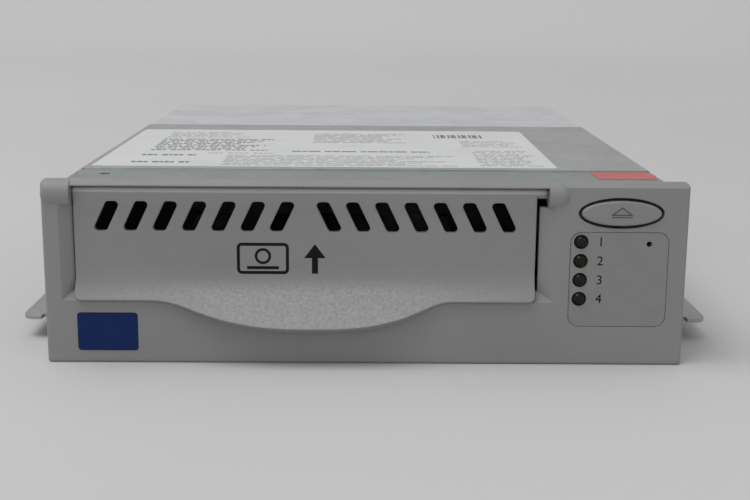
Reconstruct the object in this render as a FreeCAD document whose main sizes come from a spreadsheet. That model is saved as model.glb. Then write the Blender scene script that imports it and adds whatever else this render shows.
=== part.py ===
import FreeCAD, Part
import math
import os
import Sketcher

# Half-height 5.25 inch data tape drive: moulded front bezel with a top-hinged cartridge door,
# die-cast chassis with sheet-steel covers and mounting rails, and the tape mechanism inside.
# Row frame: origin at the centre of the bounding box's base, +X to the right seen from the front,
# +Y to the rear, +Z up. "Depth" in the notes is measured back from the bezel's front face.

DOC = FreeCAD.newDocument("tape_drive")
SHEET = DOC.addObject("Spreadsheet::Sheet", "Sizes")
V = FreeCAD.Vector


class Size:
    """A dimension: its value and the spreadsheet expression that gives it."""

    def __init__(self, value, text):
        self.value = value
        self.text = text

    def __add__(self, other):
        return join(self, "+", other, self.value + as_size(other).value)

    def __radd__(self, other):
        return as_size(other) + self

    def __sub__(self, other):
        return join(self, "-", other, self.value - as_size(other).value)

    def __rsub__(self, other):
        return as_size(other) - self

    def __mul__(self, other):
        return join(self, "*", other, self.value * as_size(other).value)

    def __rmul__(self, other):
        return as_size(other) * self

    def __truediv__(self, other):
        return join(self, "/", other, self.value / as_size(other).value)

    def __neg__(self):
        return Size(-self.value, f"(-{self.text})")


def as_size(number):
    return number if isinstance(number, Size) else Size(float(number), f"({number})")


def join(left, sign, right, value):
    return Size(value, f"({left.text} {sign} {as_size(right).text})")


def bind(thing, path, size):
    """Ties one property or constraint of a document object to the spreadsheet."""
    thing.setExpression(path, as_size(size).text)


class Dimensions:
    """The driving dimensions, one spreadsheet row each."""

    def __init__(self, rows):
        for row, (alias, value, note) in enumerate(rows, start=1):
            SHEET.set(f"A{row}", note)
            SHEET.set(f"B{row}", str(value))
            SHEET.setAlias(f"B{row}", alias)
            setattr(self, alias, Size(float(value), f"Sizes.{alias}"))


D = Dimensions((
    # whole drive
    ("overall_length", 217.93, "lip tip to rear panel"),
    ("lip_reach", 4.93, "lip tip in front of the bezel face"),
    ("bezel_width", 149, "bezel width"),
    ("bezel_height", 43.5, "bezel height at its top ridge"),
    ("bevel_low", 42.2, "height where the bevel along the top starts"),
    ("ridge_depth", 1.7, "depth of the top ridge"),
    ("bezel_back_height", 41.8, "bezel height behind the ridge"),
    ("fall_depth", 9, "depth where the top stops falling"),
    ("roof_under", 41, "underside of the bezel's roof"),
    ("bezel_depth", 12, "bezel front face to its back edge"),
    ("bezel_wall", 3.5, "front wall of the bezel"),
    ("chassis_width", 146, "half-height 5.25 inch width"),
    ("chassis_top", 41.1, "top of the front cover"),
    ("chassis_wall", 2, "die-cast wall"),
    ("chassis_back", 212, "depth of the chassis' rear edge"),
    ("cover_sheet", 0.8, "cover steel"),
    ("cover_flange", 6, "height of the covers' side flanges"),
    ("front_cover_end", 136, "depth of the front cover's rear edge"),
    ("rear_cover_start", 137, "depth of the rear cover's front edge"),
    ("rear_cover_drop", 0.5, "rear cover below the front cover"),
    ("front_band_end", 34.8, "depth of the lower band along the front cover"),
    ("front_band_drop", 0.35, "how far the band lies lower"),
    # cartridge opening, door and lip
    ("opening_left", -67.8, "opening, left side"),
    ("opening_right", 40.3, "opening, right side"),
    ("opening_sill", 17.2, "opening, lower edge"),
    ("opening_head", 41.9, "opening, upper edge"),
    ("funnel_left", 2.8, "lead-in width, left"),
    ("funnel_right", 3.7, "lead-in width, right"),
    ("funnel_below", 2.2, "lead-in height, below"),
    ("funnel_depth", 2.4, "lead-in depth"),
    ("hinge_depth", 3.3, "depth of the door hinge's axis"),
    ("hinge_height", 40.15, "height of the door hinge's axis"),
    ("door_left", -67.5, "door, left edge"),
    ("door_right", 39.5, "door, right edge"),
    ("door_wall", 1.5, "door thickness and top rounding"),
    ("scoop_top", 19.9, "height where the door starts to slope forward"),
    ("door_low", 15.35, "height of the door's straight lower edge"),
    ("scoop_wall", 1.05, "sloping part's thickness front to back"),
    ("scoop_angle", 33, "slope from vertical"),
    ("lip_edge", 2.2, "thickness of the lip's edge"),
    ("pin_radius", 1.1, "door stub radius"),
    ("pin_clearance", 0.05, "running clearance of small pins"),
    ("boss_radius", 3.1, "hinge boss radius"),
    ("boss_depth", 2, "depth of the hinge bosses' centre"),
    ("boss_start", 42.1, "right hinge boss, left end"),
    ("boss_end", 47.5, "right hinge boss, right end"),
    ("spring_x", 44.1, "left side of the door spring's pocket"),
    ("spring_room", 1.6, "width of the door spring's pocket"),
    ("vent_pitch", 6.76, "spacing of the vent slots"),
    ("vent_width", 3.35, "vent slot width and lean"),
    ("vent_low", 31.2, "vent slots, lower end"),
    ("vent_high", 38.2, "vent slots, upper end"),
    # right column of the bezel
    ("button_x", 58.85, "eject button centre"),
    ("button_z", 36.3, "eject button centre height"),
    ("button_length", 18.4, "eject button length"),
    ("button_height", 5.8, "eject button height"),
    ("button_gap", 0.72, "gap round the eject button"),
    ("led_x", 49.8, "lamp column"),
    ("led_top", 29.56, "height of the top lamp"),
    ("led_pitch", 4.52, "spacing of the lamps"),
    ("led_radius", 1.6, "lamp radius"),
    ("reset_x", 65.6, "pinhole"),
    ("reset_z", 29.1, "pinhole height"),
    ("panel_left", 47.3, "lamp panel, left"),
    ("panel_right", 70.2, "lamp panel, right"),
    ("panel_low", 9.3, "lamp panel, lower edge"),
    ("panel_high", 31.9, "lamp panel, upper edge"),
    ("badge_left", -67.2, "badge, left"),
    ("badge_right", -53.15, "badge, right"),
    ("badge_low", 3, "badge, lower edge"),
    ("badge_high", 12.1, "badge, upper edge"),
    ("board_depth", 9, "depth of the front board's face"),
    # mounting
    ("bottom_span", 139.7, "bottom holes, side to side"),
    ("hole_span", 79.25, "holes, front to back"),
    ("hole_depth", 59.4, "depth of the front holes"),
    ("side_low", 10, "lower side holes' height"),
    ("side_high", 21.8, "upper side holes' height"),
    ("thread_radius", 1.25, "M3 thread's minor radius"),
    ("rail_start", 20, "depth of the rails' front end"),
    ("rail_end", 160, "depth of the rails' rear end"),
    ("rail_reach", 85.7, "outer edge of the rails' flange"),
    ("rail_top", 5.9, "top of the rails' flange"),
    ("rail_sheet", 1, "rail steel"),
    ("rail_height", 16, "top of the rails' upright leg"),
    # mechanism
    ("deck_low", 8, "underside of the deck"),
    ("deck_high", 9.5, "top of the deck"),
    ("hub_x", -13.75, "cartridge and supply hub centre line"),
    ("hub_depth", 66, "depth of the supply hub"),
    ("reel_x", -24, "take-up reel centre"),
    ("reel_depth", 165, "depth of the take-up reel"),
    ("reel_radius", 40, "take-up reel flange radius"),
    ("shaft_radius", 3, "motor shafts"),
    ("tape_low", 15.4, "lower edge of the tape path"),
    ("tape_high", 28.4, "upper edge of the tape path"),
    ("cartridge_width", 105.4, "cartridge width"),
    ("cage_sheet", 0.8, "cage steel"),
    ("cage_half", 54, "half the cage's outer width"),
    ("cage_low", 16.5, "underside of the cage at rest"),
    ("cage_high", 40, "top of the cage at rest"),
    ("cage_front", 8, "depth of the cage's front edge"),
    ("cage_back", 110, "depth of the cage's rear wall"),
    ("cage_pin", 1.25, "cage pin radius"),
    ("cage_back_travel", 10, "how far the cage moves back"),
    ("cage_down_travel", 6, "how far the cage moves down"),
    ("slide_travel", 20, "how far the slide plates move back"),
    ("slot_clearance", 0.15, "clearance round the cage pins"),
    ("side_gap", 0.45, "gap between cage, slide and guide plates"),
    ("rack_line", 48.5, "pitch line of the rack"),
    ("rack_module", 0.8, "rack and pinion module"),
    ("pinion_teeth", 18, "teeth of the pinion on the rack"),
    ("train_module", 0.6, "motor gear module"),
    ("wheel_teeth", 36, "teeth of the large gear"),
    ("motor_teeth", 15, "teeth of the motor pinion"),
    ("gear_depth", 45, "depth of the gear post"),
))

FRONT = D.lip_reach - D.overall_length / 2      # the bezel's front face on the row's Y axis
HINGE_Y = FRONT + D.hinge_depth
COVER_UNDER = D.chassis_top - D.cover_sheet
REAR_COVER_TOP = D.chassis_top - D.rear_cover_drop
HALF = D.chassis_width / 2
LEDGE_TOP = as_size(36)                          # the main board rests here
BOARD_TOP = LEDGE_TOP + 1.6
BOARD_SCREW_X = as_size(68)
SCREW_HEIGHT = D.chassis_top - 3.1               # screws in the covers' flanges
FRONT_SCREWS = (40, 122)                         # depths of the screws in the front cover's flanges
REAR_SCREWS = (150, 200)                         # and in the rear cover's
NODES = []                                       # every object that is written as a node


# ---------------------------------------------------------------- sketch outlines

def locate(sketch, geometry, point, x, y):
    """Fixes a point of a sketch at x, y from the sketch's origin."""
    for kind, size in (("DistanceX", as_size(x)), ("DistanceY", as_size(y))):
        index = sketch.addConstraint(Sketcher.Constraint(kind, -1, 1, geometry, point, size.value))
        bind(sketch, f"Constraints[{index}]", size)


def polygon(sketch, *points):
    """A closed outline with straight sides."""
    corners = [V(as_size(x).value, as_size(y).value, 0) for x, y in points]
    sides = [sketch.addGeometry(Part.LineSegment(corners[i - 1], corners[i]), False)
             for i in range(len(corners))]
    for i, side in enumerate(sides):
        sketch.addConstraint(Sketcher.Constraint("Coincident", sides[i - 1], 2, side, 1))
        locate(sketch, side, 2, *points[i])


def rectangle(sketch, x0, x1, y0, y1):
    polygon(sketch, (x0, y0), (x1, y0), (x1, y1), (x0, y1))


def circle(sketch, x, y, radius):
    centre = V(as_size(x).value, as_size(y).value, 0)
    ring = sketch.addGeometry(Part.Circle(centre, V(0, 0, 1), as_size(radius).value), False)
    locate(sketch, ring, 3, x, y)
    index = sketch.addConstraint(Sketcher.Constraint("Radius", ring, as_size(radius).value))
    bind(sketch, f"Constraints[{index}]", radius)


def circles(sketch, places, radius):
    for x, y in places:
        circle(sketch, x, y, radius)


def ellipse(sketch, x, y, length, height):
    """An ellipse with its long axis level."""
    across = as_size(length).value / 2
    up = as_size(height).value / 2
    centre = V(as_size(x).value, as_size(y).value, 0)
    oval = sketch.addGeometry(Part.Ellipse(centre + V(across, 0, 0), centre + V(0, up, 0), centre), False)
    sketch.exposeInternalGeometry(oval)
    locate(sketch, oval, 3, x, y)
    sketch.addConstraint(Sketcher.Constraint("Horizontal", oval + 1))
    for line, size in ((oval + 1, length), (oval + 2, height)):
        index = sketch.addConstraint(Sketcher.Constraint("Distance", line, as_size(size).value))
        bind(sketch, f"Constraints[{index}]", size)


def rounded(sketch, x0, x1, y0, y1, radius):
    """A rectangle with four equal round corners."""
    left, right, low, high, turn = (as_size(a).value for a in (x0, x1, y0, y1, radius))
    ends = ((left + turn, low, right - turn, low), (right, low + turn, right, high - turn),
            (right - turn, high, left + turn, high), (left, high - turn, left, low + turn))
    sides = [sketch.addGeometry(Part.LineSegment(V(a, b, 0), V(c, d, 0)), False) for a, b, c, d in ends]
    centres = ((right - turn, low + turn), (right - turn, high - turn),
               (left + turn, high - turn), (left + turn, low + turn))
    for i, (a, b) in enumerate(centres):
        start = math.radians(-90 + 90 * i)
        arc = Part.ArcOfCircle(Part.Circle(V(a, b, 0), V(0, 0, 1), turn), start, start + math.pi / 2)
        corner = sketch.addGeometry(arc, False)
        sketch.addConstraint(Sketcher.Constraint("Tangent", sides[i], 2, corner, 1))
        sketch.addConstraint(Sketcher.Constraint("Tangent", corner, 2, sides[(i + 1) % 4], 1))
        index = sketch.addConstraint(Sketcher.Constraint("Radius", corner, turn))
        bind(sketch, f"Constraints[{index}]", radius)
    across, up = ("Vertical", "DistanceX"), ("Horizontal", "DistanceY")
    for side, (direction, kind), size in ((0, up, y0), (1, across, x1), (2, up, y1), (3, across, x0)):
        sketch.addConstraint(Sketcher.Constraint(direction, sides[side]))
        index = sketch.addConstraint(Sketcher.Constraint(kind, -1, 1, sides[side], 1, as_size(size).value))
        bind(sketch, f"Constraints[{index}]", size)


def obround(sketch, start, end, radius):
    """A slot with round ends from start to end, each an (x, y) pair."""
    (x0, y0), (x1, y1) = [[as_size(a).value for a in point] for point in (start, end)]
    turn = as_size(radius).value
    slope = math.atan2(y1 - y0, x1 - x0)
    side = V(-math.sin(slope) * turn, math.cos(slope) * turn, 0)
    first, last = V(x0, y0, 0), V(x1, y1, 0)
    cap = sketch.addGeometry(Part.ArcOfCircle(
        Part.Circle(first, V(0, 0, 1), turn), slope + math.pi / 2, slope + 3 * math.pi / 2), False)
    below = sketch.addGeometry(Part.LineSegment(first - side, last - side), False)
    tail = sketch.addGeometry(Part.ArcOfCircle(
        Part.Circle(last, V(0, 0, 1), turn), slope - math.pi / 2, slope + math.pi / 2), False)
    above = sketch.addGeometry(Part.LineSegment(last + side, first + side), False)
    for one, end_of_one, two in ((cap, 2, below), (below, 2, tail), (tail, 2, above), (above, 2, cap)):
        sketch.addConstraint(Sketcher.Constraint("Tangent", one, end_of_one, two, 1))
    locate(sketch, cap, 3, *start)
    locate(sketch, tail, 3, *end)
    index = sketch.addConstraint(Sketcher.Constraint("Radius", cap, turn))
    bind(sketch, f"Constraints[{index}]", radius)


def round_ended(sketch, inner, outer, radius, rim):
    """Half the section of a rod along the sketch's x axis, its outer end rounded by a rim radius."""
    start, end, turn, corner = (as_size(a).value for a in (inner, outer, radius, rim))
    side = 1 if end > start else -1
    first_angle = -math.pi / 2 if side > 0 else math.pi
    bend = Part.Circle(V(end - side * corner, corner - turn, 0), V(0, 0, 1), corner)
    arc = sketch.addGeometry(Part.ArcOfCircle(bend, first_angle, first_angle + math.pi / 2), False)
    low, high = (1, 2) if side > 0 else (2, 1)
    axis = sketch.addGeometry(Part.LineSegment(V(end, 0, 0), V(start, 0, 0)), False)
    flat = sketch.addGeometry(Part.LineSegment(V(start, 0, 0), V(start, -turn, 0)), False)
    shell = sketch.addGeometry(Part.LineSegment(V(start, -turn, 0), V(end - side * corner, -turn, 0)), False)
    face = sketch.addGeometry(Part.LineSegment(V(end, corner - turn, 0), V(end, 0, 0)), False)
    for one, two in ((axis, flat), (flat, shell), (face, axis)):
        sketch.addConstraint(Sketcher.Constraint("Coincident", one, 2, two, 1))
    sketch.addConstraint(Sketcher.Constraint("Tangent", shell, 2, arc, low))
    sketch.addConstraint(Sketcher.Constraint("Tangent", arc, high, face, 1))
    for line, kind in ((axis, "Horizontal"), (flat, "Vertical"), (shell, "Horizontal"), (face, "Vertical")):
        sketch.addConstraint(Sketcher.Constraint(kind, line))
    locate(sketch, flat, 1, inner, 0)
    for line, kind, size in ((flat, "DistanceY", -as_size(radius)), (face, "DistanceX", as_size(outer))):
        index = sketch.addConstraint(Sketcher.Constraint(kind, -1, 1, line, 2, size.value))
        bind(sketch, f"Constraints[{index}]", size)
    index = sketch.addConstraint(Sketcher.Constraint("Radius", arc, corner))
    bind(sketch, f"Constraints[{index}]", rim)


# ---------------------------------------------------------------- building a piece

class Piece:
    """One sub-part: a PartDesign body built up feature by feature."""

    def __init__(self, name, x=0, y=0, z=0, written=True):
        self.body = DOC.addObject("PartDesign::Body", name)
        self.body.Label = name
        self.volume = 0
        for axis, size in (("x", x), ("y", y), ("z", z)):
            bind(self.body, f"Placement.Base.{axis}", size)
        if written:
            NODES.append(self.body)

    def sketch(self, plane, at, draw, *sizes, tilt=0, up=0):
        """A sketch parallel to an origin plane at a coordinate, tilted about its own x axis."""
        sketch = self.body.newObject("Sketcher::SketchObject", f"{self.body.Name}_outline")
        planes = {feature.Role: feature for feature in self.body.Origin.OriginFeatures}
        sketch.AttachmentSupport = [(planes[f"{plane}_Plane"], "")]
        sketch.MapMode = "FlatFace"
        if tilt:
            sketch.AttachmentOffset = FreeCAD.Placement(V(0, 0, 0), FreeCAD.Rotation(V(-1, 0, 0), 1))
            bind(sketch, "AttachmentOffset.Rotation.Angle", tilt)
        bind(sketch, "AttachmentOffset.Base.y", up)
        bind(sketch, "AttachmentOffset.Base.z", -as_size(at) if plane == "XZ" else at)
        draw(sketch, *sizes)
        return sketch

    def feature(self, kind, sketch, length, reverse):
        feature = self.body.newObject(f"PartDesign::{kind}", f"{self.body.Name}_{kind}")
        feature.Profile = sketch
        bind(feature, "Length", length)
        feature.Reversed = reverse
        return self.check(feature, kind)

    def check(self, feature, kind):
        """Recomputes, and stops if a cut removed nothing or an addition added nothing."""
        grown = self.finish(feature)
        cuts = kind in ("Pocket", "Groove", "SubtractiveLoft")
        if abs(grown) < 1e-6 or (grown > 0) == cuts:
            raise RuntimeError(f"{self.body.Label}: {kind} changed the volume by {grown:.4f}")
        return feature

    def finish(self, feature):
        """Makes a feature the body's tip and returns how much the body's volume grew."""
        self.body.Tip = feature
        DOC.recompute()
        if {"Invalid", "Error"} & set(feature.State):
            raise RuntimeError(f"{feature.Label}: {feature.State}")
        before, self.volume = self.volume, self.body.Shape.Volume
        return self.volume - before

    def add(self, plane, low, high, draw, *sizes):
        """Pads an outline from one coordinate to another across a plane."""
        sketch = self.sketch(plane, low, draw, *sizes)
        return self.feature("Pad", sketch, as_size(high) - low, plane == "XZ")

    def cut(self, plane, low, high, draw, *sizes):
        """Pockets an outline from one coordinate to another across a plane."""
        sketch = self.sketch(plane, low, draw, *sizes)
        return self.feature("Pocket", sketch, as_size(high) - low, plane != "XZ")

    def turn(self, draw, *sizes):
        """Turns an outline drawn in the XZ plane about the body's own Z axis."""
        return self.spin(self.sketch("XZ", 0, draw, *sizes), "V_Axis")

    def spin(self, sketch, axis):
        """Turns a sketch about one of its own axes."""
        feature = self.body.newObject("PartDesign::Revolution", f"{self.body.Name}_turned")
        feature.Profile = sketch
        feature.ReferenceAxis = (sketch, [axis])
        feature.Angle = 360
        return self.check(feature, "Revolution")

    def ring(self, feature, count, sketch_axis="N_Axis"):
        """Repeats a feature round the normal of its own sketch."""
        pattern = self.body.newObject("PartDesign::PolarPattern", f"{self.body.Name}_ring")
        pattern.Originals = [feature]
        pattern.Axis = (feature.Profile[0], [sketch_axis])
        pattern.Angle = 360
        bind(pattern, "Occurrences", count)
        self.finish(pattern)
        return pattern

    def row(self, feature, pitch, count):
        """Repeats a feature along its sketch's x axis."""
        pattern = self.body.newObject("PartDesign::LinearPattern", f"{self.body.Name}_row")
        pattern.Originals = [feature]
        pattern.Direction = (feature.Profile[0], ["H_Axis"])
        bind(pattern, "Length", as_size(pitch) * (as_size(count) - 1))
        bind(pattern, "Occurrences", count)
        self.finish(pattern)
        return pattern

    def dress(self, kind, size, wanted):
        """Rounds or bevels the edges that the test wanted(edge) picks."""
        base = self.body.Tip
        names = [f"Edge{i}" for i, edge in enumerate(base.Shape.Edges, start=1) if wanted(edge)]
        if not names:
            raise RuntimeError(f"{self.body.Label}: no edge to {kind.lower()}")
        feature = self.body.newObject(f"PartDesign::{kind}", f"{self.body.Name}_{kind}")
        feature.Base = (base, names)
        bind(feature, "Radius" if kind == "Fillet" else "Size", size)
        self.finish(feature)
        return feature


def near(value, target, by=0.02):
    return abs(value - as_size(target).value) < by


def lies_at(edge, x=None, y=None, z=None):
    """True when both ends of an edge lie on the planes given."""
    return all(target is None or near(getattr(vertex.Point, axis), target)
               for vertex in edge.Vertexes
               for axis, target in (("x", x), ("y", y), ("z", z)))


def group(name, master, places):
    """One node of identical pieces: links to a master, each with its own place and turn."""
    links = []
    for number, (x, y, z, rotation) in enumerate(places, start=1):
        link = DOC.addObject("App::Link", f"{name}_{number}")
        link.LinkedObject = master.body
        link.Placement = FreeCAD.Placement(V(0, 0, 0), rotation)
        for axis, size in (("x", x), ("y", y), ("z", z)):
            bind(link, f"Placement.Base.{axis}", size)
        links.append(link)
    node = DOC.addObject("Part::Compound", name)
    node.Label = name
    node.Links = links
    NODES.append(node)
    return node


def box_group(name, boxes):
    """One node of plain boxes, each (x0, x1, y0, y1, z0, z1)."""
    parts = []
    for number, (x0, x1, y0, y1, z0, z1) in enumerate(boxes, start=1):
        part = DOC.addObject("Part::Box", f"{name}_{number}")
        for side, low, high in (("Length", x0, x1), ("Width", y0, y1), ("Height", z0, z1)):
            bind(part, side, as_size(high) - low)
        for axis, size in (("x", x0), ("y", y0), ("z", z0)):
            bind(part, f"Placement.Base.{axis}", size)
        parts.append(part)
    node = DOC.addObject("Part::Compound", name)
    node.Label = name
    node.Links = parts
    NODES.append(node)
    return node


UPRIGHT = FreeCAD.Rotation()
FACE_LEFT = FreeCAD.Rotation(V(0, 1, 0), -90)     # +Z turned to -X
FACE_RIGHT = FreeCAD.Rotation(V(0, 1, 0), 90)     # +Z turned to +X
FACE_FRONT = FreeCAD.Rotation(V(1, 0, 0), 90)     # +Z turned to -Y
FACE_BACK = FreeCAD.Rotation(V(1, 0, 0), -90)     # +Z turned to +Y


# ---------------------------------------------------------------- front bezel and its pieces

def led_places():
    return [(D.led_x, D.led_top - i * D.led_pitch) for i in range(4)]


def bezel():
    """Moulded shell: funnel-shaped cartridge opening, hinge bosses, button and lamp holes."""
    piece = Piece("bezel")
    half = D.bezel_width / 2
    back = FRONT + D.bezel_depth
    inner = FRONT + D.bezel_wall
    piece.add("XZ", FRONT, back, rectangle, -half, half, 0, D.bezel_height)
    for height, radius in ((D.bezel_height, 1.4), (0, 0.6)):
        piece.dress("Fillet", radius, lambda edge: lies_at(edge, z=height) and edge.BoundBox.XLength < 0.01)
    piece.dress("Fillet", 0.7, lambda edge: lies_at(edge, y=FRONT))
    # bevel along the top edge, and the top falling away behind its ridge
    piece.cut("YZ", -half, half, polygon, (FRONT, D.bevel_low), (FRONT + D.ridge_depth, D.bezel_height),
              (FRONT, D.bezel_height))
    piece.cut("YZ", -half, half, polygon,
              (FRONT + D.ridge_depth, D.bezel_height), (FRONT + D.fall_depth, D.bezel_back_height),
              (back, D.bezel_back_height), (back, D.bezel_height))
    # hollow back: a thin roof over the opening, thicker over the right column
    piece.cut("XZ", inner, back, rectangle, 1.8 - half, half - 1.8, 1.8, D.roof_under)
    # cartridge opening and its funnel-shaped lead-in
    sides = (D.opening_left, D.opening_right, D.opening_sill, D.opening_head)
    piece.cut("XZ", FRONT, inner + D.door_wall, rectangle, *sides)
    wide = (D.opening_left - D.funnel_left, D.opening_right + D.funnel_right,
            D.opening_sill - D.funnel_below, D.opening_head)
    mouth = piece.sketch("XZ", FRONT, rectangle, *wide)
    throat = piece.sketch("XZ", FRONT + D.funnel_depth, rectangle, *sides)
    funnel = piece.body.newObject("PartDesign::SubtractiveLoft", "bezel_funnel")
    funnel.Profile = mouth
    funnel.Sections = [throat]
    funnel.Ruled = True
    piece.check(funnel, "SubtractiveLoft")
    # hinge bosses: rounded knuckles outside, square lugs behind
    boss_y = FRONT + D.boss_depth
    for inner_end, outer_end, rim in ((D.opening_left, -half, 1.4), (D.boss_start, D.boss_end, 3)):
        knuckle = piece.sketch("XY", D.hinge_height, round_ended, inner_end, outer_end,
                               D.boss_radius, rim, up=boss_y)
        piece.spin(knuckle, "H_Axis")
    for low, high in ((1.8 - half, D.opening_left), (D.boss_start, D.boss_end)):
        piece.add("YZ", low, high, rectangle, boss_y, HINGE_Y + 2.4,
                  D.hinge_height - 2.2, D.opening_head + 0.4)
    bore = D.pin_radius + D.pin_clearance
    piece.cut("YZ", D.opening_left - 3.2, D.opening_left, circle, HINGE_Y, D.hinge_height, bore)
    piece.cut("YZ", D.opening_right, D.boss_end - 0.6, circle, HINGE_Y, D.hinge_height, bore)
    # room for the ear at the door's right end, and a pocket behind the right boss for the spring
    piece.cut("XZ", FRONT - 1.2, HINGE_Y + 2, rectangle, D.opening_right - 0.1, D.boss_start,
              D.hinge_height - 2.85, D.opening_head)
    piece.cut("YZ", D.spring_x, D.spring_x + D.spring_room, rectangle, HINGE_Y - 1.8, HINGE_Y + 2.4,
              D.hinge_height - 1.75, D.hinge_height + 1.75)
    # eject button, lamps and pinhole
    piece.cut("XZ", FRONT, inner, ellipse, D.button_x, D.button_z,
              D.button_length + 2 * D.button_gap, D.button_height + 2 * D.button_gap)
    piece.cut("XZ", FRONT, FRONT + 0.3, rounded, D.panel_left, D.panel_right,
              D.panel_low, D.panel_high, 2.6)
    piece.cut("XZ", FRONT, inner, circles, led_places(), D.led_radius + 0.1)
    piece.cut("XZ", FRONT, inner, circle, D.reset_x, D.reset_z, 0.65)
    piece.cut("XZ", FRONT, FRONT + 0.4, rounded, D.badge_left, D.badge_right,
              D.badge_low, D.badge_high, 0.8)
    # two snap arms a side, each with a tooth that catches in the chassis wall
    for side in (-1, 1):
        arm_in, arm_out, tooth, root = (side * x for x in (69.4, 70.7, 72, 73))
        for low in (4, 24):
            piece.add("XY", low, low + 7, rectangle, arm_in, arm_out, inner, back + 6)
            piece.add("XY", low, low + 7, polygon,
                      (arm_out, back + 3.2), (tooth, back + 3.2), (arm_out, back + 6))
            piece.add("XY", low, low + 7, rectangle, arm_out, root, inner, back - 2)
    return piece


def down_slope(height):
    """Place of a height on the door's slope, measured along the slope from its top edge."""
    return (as_size(height) - D.scoop_top).value / math.cos(math.radians(D.scoop_angle.value))


def lip_curve(sketch):
    """The smile of the door's lip, drawn down the slope from the slope's top edge.

    Returns the curve and its two ends, which are level with the door's straight lower edge.
    """
    heights = ((-50, D.door_low), (-38.2, 12.77), (-24.2, 9.95), (-12.3, 9.54),
               (3.4, 10.62), (12.7, 13.3), (20.4, D.door_low))
    points = [V(x, down_slope(height), 0) for x, height in heights]
    smile = Part.BSplineCurve()
    smile.interpolate(Points=points, InitialTangent=V(1, 0, 0), FinalTangent=V(1, 0, 0))
    curve = sketch.addGeometry(smile, False)
    sketch.addConstraint(Sketcher.Constraint("Block", curve))
    return curve, points[0], points[-1]


def under_curve(sketch, past, rise):
    """Closes the lip curve by a frame that runs past the door's ends, rise above or below it."""
    curve, start, end = lip_curve(sketch)
    left, right = D.door_left.value - past, D.door_right.value + past
    path = [end, V(right, end.y, 0), V(right, end.y + rise, 0),
            V(left, start.y + rise, 0), V(left, start.y, 0), start]
    sides = [sketch.addGeometry(Part.LineSegment(a, b), False) for a, b in zip(path, path[1:])]
    for side, corner in zip(sides, path[1:-1]):
        locate(sketch, side, 2, corner.x, corner.y)
    for one, two in zip(sides, sides[1:]):
        sketch.addConstraint(Sketcher.Constraint("Coincident", one, 2, two, 1))
    sketch.addConstraint(Sketcher.Constraint("Coincident", curve, 2, sides[0], 1))
    sketch.addConstraint(Sketcher.Constraint("Coincident", sides[-1], 2, curve, 1))


def corner_waste(sketch, door_end, inward):
    """What rounding takes off the door's lower corner; inward is 1 at the left end, -1 at the right."""
    x, y, turn = door_end.value, down_slope(D.door_low), 1.6
    middle = V(x + inward * turn, y + turn, 0)
    path = [V(middle.x, y, 0), V(middle.x, y - 1, 0), V(x - inward, y - 1, 0),
            V(x - inward, middle.y, 0), V(x, middle.y, 0)]
    sides = [sketch.addGeometry(Part.LineSegment(a, b), False) for a, b in zip(path, path[1:])]
    first_angle = math.pi if inward > 0 else 1.5 * math.pi
    arc = sketch.addGeometry(Part.ArcOfCircle(
        Part.Circle(middle, V(0, 0, 1), turn), first_angle, first_angle + math.pi / 2), False)
    low, high = (2, 1) if inward > 0 else (1, 2)
    sketch.addConstraint(Sketcher.Constraint("Vertical", sides[0]))
    for side, corner in zip(sides, path[1:]):
        locate(sketch, side, 2, corner.x, corner.y)
    for one, two in zip(sides, sides[1:]):
        sketch.addConstraint(Sketcher.Constraint("Coincident", one, 2, two, 1))
    locate(sketch, arc, 3, middle.x, middle.y)
    sketch.addConstraint(Sketcher.Constraint("Coincident", arc, low, sides[0], 1))
    sketch.addConstraint(Sketcher.Constraint("Coincident", sides[-1], 2, arc, high))


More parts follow.
